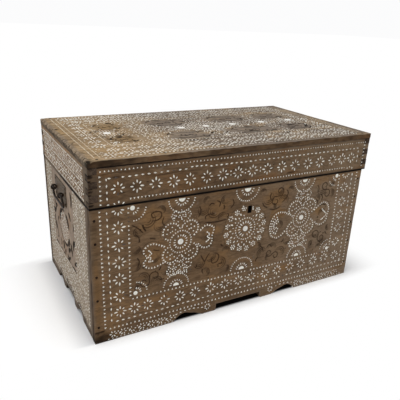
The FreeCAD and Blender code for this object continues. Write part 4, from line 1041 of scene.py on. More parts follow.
def front_inlay():
    inlay = Inlay(11, lambda u, v: 1 - 0.3 * float(smooth(u, 300, 720)))
    inlay.keep_bare(in_box(KEYHOLE_U - 9, KEYHOLE_U + 9, KEYHOLE_V - 19, KEYHOLE_V + 11))
    for place in PEARL_PLACES:
        inlay.keep_bare(in_circle(place, PEARL_RADIUS + 1.2))
    first, middle, last = PEARL_PLACES
    inlay.rows(
        (TO_LEFT, (20.5, 301), (23.5, 35), 9.3),
        (ALONG, (34.2, 296), (37.6, 50), 13.5),
        (TO_LEFT, (78.5, 300), (80.5, 100), 9.4),
        (TO_RIGHT, (642.5, 300), (643.5, 98), 8.5),
        (ALONG, (687, 298), (690.5, 52), 12.5),
        (TO_RIGHT, (703, 302), (706, 38), 8.8),
    )
    for places, radius, half in (
        ((262, 223, 184, 145, 105), 15, (57, 301)),
        ((267, 227, 190, 152, 111), 14, (665, 303)),
    ):
        for v in places:
            inlay.rosette((half[0], v), radius)
        inlay.ring("petal", half, 9.6, 5, 7.4, 2.8, (175, 365))
    for u in (57, 89, 119, 159, 198, 237, 278, 317, 356, 394, 435, 473, 514, 551, 592, 630, 668):
        inlay.rosette((u, 66 + u * 0.006), 14.2)
    for u in (297, 335, 376, 414):
        inlay.row("dot", (u, 63), (u, 72), 9, *SMALL)
    inlay.rows(
        (TO_LEFT, (86, 91), (640, 88), 9.3),
        (ALONG, (50, 44.5), (690, 48), 13),
        (TO_LEFT, (34, 30.5), (702, 33), 9.3),
    )
    lobed_medallion(inlay, first, (28, 19))
    lobed_medallion(inlay, last, (28, 26))
    great_rosette(inlay, middle)
    for points in (LEFT_HOOK, RIGHT_HOOK, ROUND_HOOK, TALL_HOOK):
        inlay.trail("triangle", points, 6.6, *TRIANGLE)
    for points in (LEFT_CURL, RIGHT_CURL, TALL_CURL):
        inlay.trail("petal", points, 5.4, 4.6, 3.4, turn=0)
    for angle in range(112, 250, 17):
        for radius in (10, 16.5, 23):
            inlay.chip("petal", *polar((464, 195), radius, angle), angle, 4.8, 3.2, only_free=True)
    for fan in FRONT_FANS:
        inlay.fan(*fan)
    for start, end in ((30, 180), (532, 700)):
        inlay.row("triangle", (start, 4.5), (end, 4.5), 9.0, *SMALL, turn=90)
        for u in np.arange(start + 10, end - 6, 22):
            inlay.ring("petal", (u, 14.5), 6.0, 6, 5.0, 2.4)
            inlay.ring("dot", (u + 11, 14.5), 4.2, 3, *SMALL, (90, 450), only_free=True)
    for points in ARCHES:
        inlay.trail("lozenge", points, 12, 6.2, 2.8, turn=0)
    for u in (272, 457):
        inlay.ring("dot", (u, 17), 6.4, 7, *SMALL)
    return inlay


# Low curls of fine arcs: u, v, size, angle and hand
FRONT_SWIRLS = (
    (120, 268, 17, 200, 1), (146, 250, 12, 20, -1), (100, 244, 11, 100, 1), (150, 285, 9, 300, 1),
    (94, 205, 9, 60, -1), (93, 165, 10, 240, 1), (110, 134, 13, 150, -1), (140, 118, 13, 330, 1),
    (160, 140, 9, 60, -1), (98, 112, 8, 30, 1), (250, 270, 13, 160, 1), (278, 262, 16, 340, -1),
    (305, 285, 10, 80, 1), (300, 244, 11, 220, -1), (258, 290, 8, 20, 1), (245, 140, 14, 30, -1),
    (275, 150, 12, 200, 1), (300, 128, 15, 110, -1), (262, 112, 11, 280, 1), (314, 158, 9, 330, 1),
    (318, 110, 8, 90, -1), (425, 270, 15, 200, 1), (455, 285, 10, 60, -1), (470, 258, 14, 330, 1),
    (440, 246, 9, 120, -1), (408, 288, 8, 0, 1), (490, 284, 8, 180, -1), (420, 128, 14, 40, 1),
    (450, 138, 11, 190, -1), (475, 120, 14, 300, 1), (405, 150, 9, 120, -1), (440, 112, 8, 60, 1),
    (494, 146, 9, 20, -1), (590, 272, 15, 30, -1), (618, 285, 10, 210, 1), (578, 248, 9, 300, 1),
    (622, 256, 11, 120, -1), (590, 150, 13, 160, 1), (618, 130, 13, 340, -1), (580, 120, 11, 60, 1),
    (604, 108, 8, 200, -1), (630, 160, 8, 90, 1), (136, 176, 9, 200, 1), (256, 206, 10, 60, -1),
    (600, 206, 10, 20, 1), (466, 196, 9, 140, -1),
)


# Courses of the longer cuts, by half width and depth
FRONT_STROKES = {
    (1.7, 1.1): (
        ((127, 264), (138, 263), (149, 268), (150, 279), (140, 283), (129, 280), (131, 271), (140, 272)),
        ((85, 262), (97, 254), (110, 240)), ((132, 197), (140, 194), (147, 193)),
        ((96, 186), (101, 176), (98, 164)), ((257, 245), (256, 252), (264, 256), (279, 254)),
        ((255, 238), (282, 235), (312, 236)), ((312, 240), (316, 246), (312, 251)),
        ((264, 276), (270, 281), (278, 278)), ((283, 286), (292, 280), (290, 270)),
        ((301, 262), (304, 267), (301, 273)), ((248, 160), (254, 148), (259, 141), (264, 150), (271, 160)),
        ((286, 158), (296, 148), (292, 134), (280, 132), (277, 142), (284, 146)),
        ((432, 283), (429, 274), (433, 265)), ((408, 262), (414, 252), (424, 246)),
        ((430, 242), (446, 239), (462, 244)), ((433, 138), (440, 147), (449, 138)),
        ((410, 150), (420, 142), (424, 130)), ((576, 245), (581, 240), (582, 234)),
    ),
    (1.6, 1.1): (
        ((92, 240), (100, 232), (102, 220)), ((124, 225), (132, 223), (138, 221)),
        ((160, 246), (153, 256), (156, 268)), ((238, 254), (244, 266), (240, 280)),
        ((320, 262), (328, 272), (324, 284)), ((476, 286), (482, 276), (476, 262), (466, 254)),
        ((574, 284), (580, 274), (578, 262)),
    ),
    (1.9, 1.2): (((588, 259), (595, 250), (594, 240)),),
    (2.0, 1.7): (((590, 226), (598, 229), (610, 226)),),
    (2.2, 1.6): (((109, 259), (111, 251), (116, 243)),),
}
# Place, size, angle and hand
FRONT_SCROLLS = (
    ((124, 128), 26, 24, -1), ((452, 272), 26, 64, 1), ((452, 118), 22, 330, -1),
    ((604, 268), 24, 110, -1), ((598, 140), 26, 150, 1),
)
# Place, size and angle
FRONT_COMMAS = (
    ((104, 122), 11, 140), ((148, 122), 10, 330), ((146, 146), 9, 30), ((254, 122), 11, 250),
    ((306, 126), 12, 160), ((236, 130), 9, 40), ((300, 176), 9, 290), ((478, 146), 10, 30),
    ((408, 118), 10, 210), ((622, 148), 9, 280), ((578, 118), 10, 60), ((610, 118), 10, 120),
)
# Place and radius
FRONT_PITS = (
    ((104, 248), 2.2), ((110, 160), 2.0), ((117, 158), 1.8), ((509, 126), 2.6), ((616, 145), 2.0),
    ((607, 150), 1.8), ((588, 195), 2.2), ((610, 187), 1.8), ((296, 120), 1.8), ((420, 222), 1.8),
)
FRONT_CARVED = 0.62
FOOT_CRACK = ((0, 26), (10, 25.5), (22, 29))


def front_carving():
    carving = Carving(FRONT_CARVED)
    for (half, deep), courses in FRONT_STROKES.items():
        for points in courses:
            carving.stroke(points, half, deep)
    for scroll in FRONT_SCROLLS:
        carving.scroll(*scroll)
    for comma in FRONT_COMMAS:
        carving.comma(*comma)
    for place, radius in FRONT_PITS:
        carving.dent(place, radius, 1.7)
    for points in (LEFT_HOOK, RIGHT_HOOK, ROUND_HOOK, TALL_HOOK):
        carving.outline(points, 1.2)
    for u, v in (PEARL_PLACES[0], PEARL_PLACES[2]):
        for side in (-1, 1):
            for up in (-1, 1):
                loop_centre = (u + LOOP_APART[0] * side, v + LOOP_APART[1] * up)
                middle = 0 if side > 0 else 180
                arc = [polar(loop_centre, 26, middle + side * up * t) for t in (-30, 0, 30, 60, 85)]
                carving.stroke(arc, *FINE_GROOVE)
    ring = [polar(PEARL_PLACES[1], 60 + 1.5 * (-1) ** k, 15 * k) for k in range(25)]
    carving.stroke(ring, *FINE_GROOVE)
    for u, v, size, angle, hand in FRONT_SWIRLS:
        carving.swirl((u, v), size, angle, hand)
    carving.age(21, (4, 30), (LENGTH - 4, SEAM - 6), 70, 46)
    carving.stroke(FOOT_CRACK, 2.4, 2.2)
    for u, half in ((4, 60), (9, 95), (12, 40)):
        carving.stroke(((u, 235 - half), (u + 0.8, 240), (u - 0.4, 240 + half)), 0.8, 0.35)
    return carving


def patches(spots):
    """Soft spots of a warmer tone, each a place and its half width and half height."""

    def tint(u, v):
        result = np.zeros(np.shape(u))
        for (a, b), (half_u, half_v) in spots:
            far = np.hypot((u - a) / half_u, (v - b) / half_v) + 0.5 * noise(u, v, 11, 15) - 0.25
            result = np.maximum(result, 1 - smooth(far, 0.5, 1.2))
        return result

    return tint


FRONT_WARM = (((130, 270), (36, 30)), ((500, 70), (34, 10)), ((588, 213), (16, 12)), ((290, 136), (44, 28)),
              ((146, 76), (44, 9)), ((455, 226), (26, 16)), ((8, 120), (10, 80)), ((276, 214), (26, 12)),
              ((284, 264), (44, 26)), ((450, 268), (40, 22)), ((132, 190), (26, 18)))


def in_field(u, v):
    """1 in the carved field and 0 on the borders round it."""
    low_u, high_u, low_v, high_v = FIELD
    sides = smooth(u, low_u, low_u + 5) * (1 - smooth(u, high_u - 5, high_u))
    return sides * smooth(v, low_v, low_v + 5) * (1 - smooth(v, high_v, high_v + 2))


def cut_keyhole(piece):
    """Cuts the keyhole, a round eye with a slot below, right through the front board, and paints its walls
    black as painted shade.
    """
    half = KEYHOLE_SLOT / 2
    side = math.degrees(math.asin(half / KEYHOLE_RADIUS))
    eye = np.linspace(-90 + side, 270 - side, 22)
    outline = [polar((KEYHOLE_U, KEYHOLE_V), KEYHOLE_RADIUS, angle) for angle in eye]
    outline += [(KEYHOLE_U - half, KEYHOLE_V - KEYHOLE_DROP), (KEYHOLE_U + half, KEYHOLE_V - KEYHOLE_DROP)]
    u, v = np.array(outline).T
    count = len(outline)
    ends = (-WALL - CUTTER_PAST, CUTTER_PAST)
    points = np.vstack([front_face.place(u, v, np.full(count, h)) for h in ends])
    faces = [[k, (k + 1) % count, (k + 1) % count + count, k + count] for k in range(count)]
    faces += [list(range(count))[::-1], list(range(count, 2 * count))]
    mesh = bpy.data.meshes.new("keyhole_cutter")
    mesh.from_pydata(points.tolist(), [], faces)
    cutter = bpy.data.objects.new("keyhole_cutter", mesh)
    bpy.context.scene.collection.objects.link(cutter)
    modifier = piece.modifiers.new("keyhole", "BOOLEAN")
    modifier.operation = "DIFFERENCE"
    modifier.solver = "EXACT"
    modifier.object = cutter
    graph = bpy.context.evaluated_depsgraph_get()
    result = bpy.data.meshes.new_from_object(piece.evaluated_get(graph))
    piece.modifiers.remove(modifier)
    piece.data = result
    bpy.data.objects.remove(cutter)
    # The keyhole's walls are painted black as painted shade
    painted_shade_and_dark_tone = result.attributes["painted_shade_and_dark_tone"]
    in_width = KEYHOLE_RADIUS + CUT_EDGE
    for index, vertex in enumerate(result.vertices):
        across, up = vertex.co.x / MM - LEFT - KEYHOLE_U, vertex.co.z / MM - KEYHOLE_V
        if abs(across) < in_width and -KEYHOLE_DROP - CUT_EDGE < up < in_width:
            painted_shade_and_dark_tone.data[index].value = 1.0


# How far the painted shade reaches from the joint of body and lid, in millimetres
SEAM_SHADE = 3.1


def front_shade(u, v):
    """Painted shade at the joint with the lid, and darker wood along the nailed left edge and at the foot
    below it.
    """
    edge = 0.22 * (1 - smooth(u, 10, 20)) * (0.6 + 0.8 * noise(u, v, 16, 18))
    foot = 0.75 * (1 - smooth(np.hypot(u / 60, v / 34), 0.5, 1.1)) * (0.6 + 0.6 * noise(u, v, 7, 19))
    return np.maximum(painted_seam_shade_below(u, v), np.maximum(edge, foot))


def front_wear(u, v):
    """A grey rubbed patch near the top right corner."""
    return 1 - smooth(np.hypot((u - 684) / 22, (v - 284) / 20), 0.5, 1.1)


def painted_seam_shade_below(u, v):
    """Painted shade: the black of the joint on a body board's top edge."""
    return smooth(v, SEAM - SEAM_SHADE - 0.6, SEAM - SEAM_SHADE + 0.6)


def painted_seam_shade_above(u, v):
    """Painted shade: the black of the joint on a lid rail's lower edge."""
    return 1 - smooth(v, SEAM + SEAM_SHADE - 0.6, SEAM + SEAM_SHADE + 0.6)


def sharp_at_seam(u, v):
    """Less rounding at the joint of body and lid."""
    return 0.45 + 0.55 * smooth(np.abs(v - SEAM), 4, 10)


inlay = front_inlay()
front_rise = apron_rise(FRONT_FOOT, FRONT_ARCH, FRONT_LOBE, APRON_HEIGHT, LENGTH)
front_marks = opening_marks(FRONT_FOOT, FRONT_ARCH, FRONT_LOBE, LENGTH)
front_grid = Grid(
    lines(0, LENGTH, 4.0, FIELD[:2], 1.2, front_marks),
    lines(0, SEAM, 4.0, FIELD[2:], 1.2),
    front_rise,
)
front = board("front_board", "chest", front_face, front_grid, WALL, 1.3,
              [front_wood, corner_wood, dark_inside, board_end], cuts=front_carving().cuts, ground=in_field,
              chips=inlay.chips, seed=20, edge_share=sharp_at_seam, wear=front_wear, shade=front_shade,
              tint=patches(FRONT_WARM))
cut_keyhole(front)
inlay.build("front_inlay", "chest", front_face)

# Ends of the body

END_FIELD = (131.0, 324.0, 105.0, 302.0)
END_OVAL = (221.0, 181.0)
OVAL_RADIUS = 38.0
EDGE_STRIP = 33.0
MOSAIC = (4.6, 2.8)
handle_low, handle_high = corners("left_handle_plate")


def end_inlay(seed, rise):
    inlay = Inlay(seed, lambda u, v: 0.46)
    plate = (handle_low[1] - FRONT - 3, handle_high[1] - FRONT + 3, handle_low[2] - 3, handle_high[2] + 3)
    inlay.keep_bare(in_box(*plate))
    high_u = DEPTH - 24
    for u in (EDGE_STRIP + 2, END_FIELD[0] - 6, END_FIELD[1] + 6, high_u - 2):
        inlay.row("triangle", (u, 303), (u, 26), 8.6, *TRIANGLE, turn=90)
    for v in (27, END_FIELD[2] - 6):
        inlay.row("triangle", (EDGE_STRIP + 8, v), (high_u - 8, v), 8.6, *TRIANGLE, turn=90, only_free=True)
    for v in np.arange(288, 40, -31.0):
        for u in (EDGE_STRIP + 26, EDGE_STRIP + 66, high_u - 26):
            inlay.rosette((u, v), 13.5, only_free=True)
            inlay.chip("dot", u, v, 0, *TRIANGLE, only_free=True)
    for u in np.arange(END_FIELD[0] + 16, END_FIELD[1], 31.0):
        for v in (46, 80):
            inlay.rosette((u, v), 13.5, only_free=True)
    for radius in (34, 26, 18, 10):
        count = round(radius * math.tau / 6.4)
        inlay.ring("petal", END_OVAL, radius, count, *MOSAIC, only_free=True, share=0.6)

    def mosaic(u, v):
        inside = END_FIELD[0] - 4 < u < END_FIELD[1] + 4 and v > END_FIELD[2] - 4
        return not inside and v > float(rise(np.array([u]))[0]) + 22

    inlay.fill(mosaic, (EDGE_STRIP + 5, 10), (high_u, 304), 7.6, *MOSAIC, share=0.6, way=90)
    low, high = ((END_OVAL[0] + reach, END_OVAL[1] + reach) for reach in (-OVAL_RADIUS, OVAL_RADIUS))
    inlay.fill(in_circle(END_OVAL, OVAL_RADIUS), low, high, 6.0, *MOSAIC, share=0.5, way=90)
    return inlay


# Start and end in degrees and half width of the cuts round the oval
OVAL_CUTS = (
    (6, 66, 5.0), (70, 96, 2.4), (116, 164, 5.0), (200, 234, 5.2), (238, 292, 2.6), (296, 352, 2.2),
)
# Three places and half width of the leaves in the field
END_LEAVES = (
    ((148, 292), (143, 276), (146, 260), 5.2), ((174, 234), (165, 230), (160, 222), 5.0),
    ((138, 222), (135, 214), (139, 204), 3.0), ((130, 180), (144, 170), (148, 154), 5.4),
    ((168, 160), (165, 151), (169, 142), 5.0), ((158, 148), (162, 141), (158, 134), 4.0),
    ((194, 132), (184, 138), (176, 144), 5.0), ((208, 116), (192, 112), (178, 122), 3.2),
    ((126, 132), (134, 124), (144, 120), 4.2), ((244, 134), (238, 126), (243, 118), 5.4),
    ((222, 122), (228, 114), (224, 108), 3.4), ((300, 140), (294, 130), (302, 122), 3.6),
    ((326, 196), (314, 191), (298, 206), 5.0), ((318, 178), (321, 168), (316, 158), 3.6),
    ((318, 160), (308, 152), (298, 142), 5.4), ((286, 216), (298, 212), (308, 222), 4.4),
    ((276, 188), (284, 178), (280, 166), 3.0), ((272, 132), (264, 124), (270, 114), 3.0),
)


def end_carving():
    carving = Carving()
    low_v = END_FIELD[2]
    for start, end in ((128, 168), (186, 214), (232, 246), (262, 276), (294, 328)):
        points = ((start, low_v - 1), ((start + end) / 2, low_v + 1), (end, low_v - 2))
        carving.stroke(points, 3.4, 1.3, (0.3, 0.5))
    for start, end, half in OVAL_CUTS:
        ring = [polar(END_OVAL, OVAL_RADIUS + 5, start + (end - start) * t) for t in (0, 0.25, 0.5, 0.75, 1)]
        carving.stroke(ring, 1.5 * half, 1.8, (0.3, 0.3))
    for *points, half in END_LEAVES:
        carving.stroke(points, 1.35 * half, 1.7, (0.25, 0.6))
    return carving


def on_strip(u):
    """1 on the plain strip along an end's front edge."""
    return 1 - smooth(u, EDGE_STRIP - 5, EDGE_STRIP + 2)


def end_wear(u, v):
    """The ground of the mosaic is paler than the plain field."""
    low_u, high_u, low_v = END_FIELD[:3]
    field = smooth(u, low_u - 4, low_u) * (1 - smooth(u, high_u, high_u + 4)) * smooth(v, low_v - 4, low_v)
    return 0.9 * (1 - field) * (1 - on_strip(u)) * smooth(v - end_rise(u), 16, 26)


def end_shade(u, v):
    """Darker above the apron and on the plain strip, and painted shade at the joint with the lid."""
    rough = 8 * noise(u, v, 12, 7)
    low = 0.6 * (1 - smooth(v - end_rise(u), 9 + rough, 20 + rough))
    strip = on_strip(u) * (0.35 + 0.3 * noise(u, v, 30, 8) + 0.15 * (1 - smooth(u, 4, 16)))
    # Painted shade at the joint with the lid
    joint = (1 - 0.5 * smooth(u, 180, 300)) * smooth(v, SEAM - 5.0, SEAM - 3.6)
    return np.maximum(np.maximum(low, strip), joint)


end_rise = apron_rise(END_FOOT, END_ARCH, END_LOBE, APRON_HEIGHT, DEPTH)
for side, face, seed in (("left", left_face, 31), ("right", right_face, 41)):
    inlay = end_inlay(seed, end_rise)
    grid = Grid(
        lines(WALL, DEPTH - WALL, 4.0, (END_FIELD[0] - 4, END_FIELD[1] + 4), 1.5,
              opening_marks(END_FOOT, END_ARCH, END_LOBE, DEPTH)),
        lines(0, SEAM, 4.0, (END_FIELD[2] - 6, SEAM), 1.5),
        end_rise,
    )
    board(side + "_end_board", "chest", face, grid, WALL, 0.8, [side_wood, board_end, dark_across, board_end],
          cuts=end_carving().cuts, seed=seed + 1, wear=end_wear, shade=end_shade)
    inlay.build(side + "_end_inlay", "chest", face)

# Back of the body

back_grid = Grid(lines(0, LENGTH, 5.0), lines(0, SEAM, 5.0))
board("back_board", "chest", back_face, back_grid, WALL, 1.2, [back_wood, board_end, dark_inside, board_end],
      seed=51, edge_share=sharp_at_seam, shade=painted_seam_shade_below)

# Lid rails with finger joints

FINGERS = 6
FINGER = (RAIL_TOP - SEAM) / FINGERS
CORNER = 19.0


def finger_marks():
    """Heights at which one finger ends and the next starts."""
    return [SEAM + k * FINGER for k in range(1, FINGERS)]


def finger_gaps(low, high, first):
    """Notches at both ends of a rail that spans low to high, from the first finger on."""
    gaps = []
    for k in range(first, FINGERS, 2):
        v0, v1 = SEAM + k * FINGER, SEAM + (k + 1) * FINGER
        gaps.append((low - 1, low + RAIL, v0, v1))
        gaps.append((high - RAIL, high + 1, v0, v1))
    return gaps


def lid_front_inlay():
    inlay = Inlay(61, lambda u, v: 0.85 - 0.3 * float(smooth(u, 300, 700)))
    inlay.rows(
        (SMALL_TO_LEFT, (24, 382), (360, 382), 8.2),
        (SMALL_TO_LEFT, (368, 382), (714, 382), 7.5),
        (ALONG, (41, 367), (203, 368), 13.0),
        (ALONG, (217, 371), (250, 371), 13.0),
        (ALONG, (263, 368), (690, 368), 12.6),
        (TO_LEFT, (23, 372), (23, 316), 9.3),
        (ALONG, (35, 365), (35.5, 326), 13),
        (TO_RIGHT, (713, 374), (713, 320), 9.0),
        (ALONG, (694, 359), (694, 334), 12.5),
    )
    for u in (57.5, 96.5, 136.5, 175.5, 213.5, 254, 293, 332, 370, 411, 452, 491, 530, 568, 609, 641, 672):
        inlay.rosette((u, 345), 14.5)
    for u in (313, 351, 391):
        inlay.row("dot", (u, 342), (u, 350), 8, *SMALL)
    inlay.rows(
        (MIDDLING_TO_RIGHT, (83, 320.5), (224, 320.5), 8.0),
        (MIDDLING_TO_RIGHT, (234, 320.5), (653, 320.5), 8.0),
    )
    for u, v in ((37, 314), (50, 314), (58.6, 317), (68, 314), (664, 318), (672, 321), (681, 317)):
        inlay.chip("petal", u, v, 90 + 4 * (58 - u) if u < 100 else 90, 5.6, 2.9)
    return inlay


def lid_end_inlay(seed):
    inlay = Inlay(seed, lambda u, v: 0.66)
    low, high = 35, DEPTH - 20
    for v in (381, 352, 316):
        inlay.row("triangle", (low, v), (high, v), 7.6, *TRIANGLE, turn=90)
    for u in np.arange(low + 2, high - 8, 12.0):
        inlay.row("bar", (u, 358), (u + 9, 375), 6.4, 4.6, 2.2)
    for k, u in enumerate(np.arange(low + 14, high - 8, 31.0)):
        inlay.rosette((u, 334), 13)
        inlay.chip("dot", u, 334, 0, *TRIANGLE)
        bend = 5 if k % 2 else -5
        points = ((u + 13, 345), (u + 15.5 + bend, 338), (u + 15.5 - bend, 330), (u + 17, 322))
        inlay.trail("petal", points, 5.4, 4.6, 2.8, turn=0, only_free=True)
    inlay.fill(lambda u, v: True, (low, 318), (high, 379), 9.5, 4.4, 2.7, share=0.5)
    inlay.fill(lambda u, v: True, (low, 318), (62, 366), 6.2, 4.4, 3.0)
    return inlay


def lid_front_carving():
    carving = Carving()
    carving.dent((3, 388), 3.6, 2.6)
    carving.dent((4, 383), 2.4, 1.6)
    for v, reach in ((384, 7), (371, 9), (357, 12), (343, 8), (329, 7), (316, 10)):
        carving.stroke(((0, v), (reach / 2, v + 0.8), (reach, v)), 1.6, 1.8, (0.01, 0.6))
    for v, start, end in ((330, 4, 70), (362, 120, 260), (356, 330, 420), (333, 470, 600), (376, 20, 90)):
        carving.stroke(bowed(start, end, v, 1.5, 0.5), 0.8, 0.3)
    carving.age(63, (20, SEAM + 6), (LENGTH - 4, RAIL_TOP - 6), 40, 26)
    return carving


def tight_joint(u, v):
    """Almost no rounding where the fingers of two rails meet."""
    return sharp_at_seam(u, v) * (0.2 + 0.8 * smooth(u, CORNER, CORNER + 3))


def near_corner(u):
    """1 on the end of the lid's front rail, where its fingers show."""
    return 1 - smooth(u, CORNER - 6, CORNER + 5)


def painted_open_joint_shade(u, v):
    """Painted shade: black wedges at the corner, where the fingers have shrunk apart."""
    black = np.zeros(np.shape(u))
    for k, mark in enumerate(finger_marks()):
        reach = (9, 6, 11, 7, 9)[k]
        near = 1 - smooth(np.abs(v - mark), 1.2, 2.2)
        black = np.maximum(black, near * (1 - smooth(u, reach - 3, reach)))
    return black


def lid_front_wear(u, v):
    """Grey on the worn finger ends of the corner."""
    return 0.4 * near_corner(u)


def lid_front_shade(u, v):
    """Painted shade under the slab, at the joint with the body and in the open finger joints, and a darker
    tone on the corner.
    """
    painted_shade_under_slab = smooth(v, RAIL_TOP - 3.5 - 2 * noise(u, v, 40, 9), RAIL_TOP - 1)
    painted_shade_under_slab = painted_shade_under_slab * (1 - 0.6 * smooth(u, 200, 420))
    corner = np.maximum(near_corner(u) * (0.22 + 0.22 * noise(u, v, 5, 14)), painted_open_joint_shade(u, v))
    return np.maximum(np.maximum(painted_seam_shade_above(u, v), painted_shade_under_slab), corner)


def lid_side_wear(u, v):
    """Grey along the front edge of the lid's ends."""
    return 1 - smooth(u, 28, 36)


def lid_side_shade(u, v):
    """Painted shade under the slab and at the joint with the body, and a darker tone at the front corner."""
    painted_shade_under_slab = 0.6 * smooth(v, RAIL_TOP - 3, RAIL_TOP - 1)
    corner = lid_side_wear(u, v) * (0.48 + 0.2 * (1 - smooth(u, 2, 8))) * smooth(u, -2, 0)
    # Painted shade at the joint with the body
    joint = (1 - 0.5 * smooth(u, 180, 300)) * painted_seam_shade_above(u, v)
    return np.maximum(np.maximum(joint, painted_shade_under_slab), corner)


rail_span = (rail_low[0] - LEFT, rail_high[0] - LEFT)
side_span = (side_low[1] - FRONT, side_high[1] - FRONT)
inlay = lid_front_inlay()
rail_grid = Grid(lines(*rail_span, 4.0, marks=(rail_span[0] + RAIL, rail_span[1] - RAIL)),
                 lines(SEAM, RAIL_TOP, 4.0, marks=finger_marks()))
board("lid_front_rail", "lid", lid_front_face, rail_grid, RAIL, 1.0,
      [lid_front_wood, corner_wood, dark_inside, board_end], gaps=finger_gaps(*rail_span, 1),
      cuts=lid_front_carving().cuts, seed=62, edge_share=tight_joint, wear=lid_front_wear,
      shade=lid_front_shade)
inlay.build("lid_front_inlay", "lid", lid_front_face)
board("lid_back_rail", "lid", lid_back_face, rail_grid, RAIL, 1.0,
      [back_wood, board_end, dark_inside, board_end], gaps=finger_gaps(*rail_span, 1), seed=71,
      edge_share=sharp_at_seam, shade=painted_seam_shade_above)
side_grid = Grid(lines(*side_span, 4.0, marks=(side_span[0] + RAIL, side_span[1] - RAIL)),
                 lines(SEAM, RAIL_TOP, 4.0, marks=finger_marks()))
for side, face, seed in (("left", lid_left_face, 81), ("right", lid_right_face, 91)):
    board("lid_%s_rail" % side, "lid", face, side_grid, RAIL, 0.8,
          [lid_side_wood, finger_end, dark_across, board_end], gaps=finger_gaps(*side_span, 0), seed=seed,
          edge_share=tight_joint, wear=lid_side_wear, shade=lid_side_shade)
    lid_end_inlay(seed + 1).build("lid_%s_inlay" % side, "lid", face)

# Slab

SLAB_WIDTH = slab_high[1] - slab_low[1]
SLAB_SPAN = (slab_low[0] - LEFT, slab_high[0] - LEFT)
TOP_BORDER = 96.0
TOP_FRAME = 79.0
TOP_MIDDLE = SLAB_WIDTH / 2
STRING_WIDTH = 1.8
lid_pearl_low, lid_pearl_high = corners("lid_pearls")
LID_PEARL_RADIUS = (lid_pearl_high[1] - lid_pearl_low[1]) / 2
LID_PEARL_SHARES = (0.145, 0.403, 0.498, 0.606, 0.732, 0.856)
LID_PEARLS = [SLAB_SPAN[0] + share * (SLAB_SPAN[1] - SLAB_SPAN[0]) for share in LID_PEARL_SHARES]
BARE_OVALS = (
    ((278, 136), (62, 44)),
    ((276, 272), (56, 44)),
    ((458, 137), (68, 44)),
    ((460, 272), (64, 42)),
    ((594, 137), (50, 42)),
    ((598, 272), (54, 42)),
    ((122, 140), (36, 34)),
    ((124, 270), (38, 38)),
)


def in_ellipse(u, v, ellipse, grow):
    """Whether a place is in an ellipse, with the square of its size scaled by grow."""
    (a, b), (half_u, half_v) = ellipse
    return ((u - a) / half_u) ** 2 + ((v - b) / half_v) ** 2 < grow


def top_shine(u, v):
    """The chips are duller in front and towards the back right."""
    back = 0.36 * float(smooth(v, 150, 360) * smooth(u, 150, 450))
    return 0.52 + 0.2 * float(smooth(v, 60, 110)) - back


TOP_CLUSTERS = (
    (88, 95), (95, 118), (186, 88), (198, 98), (190, 108), (365, 105), (533, 95), (640, 98), (655, 102),
)


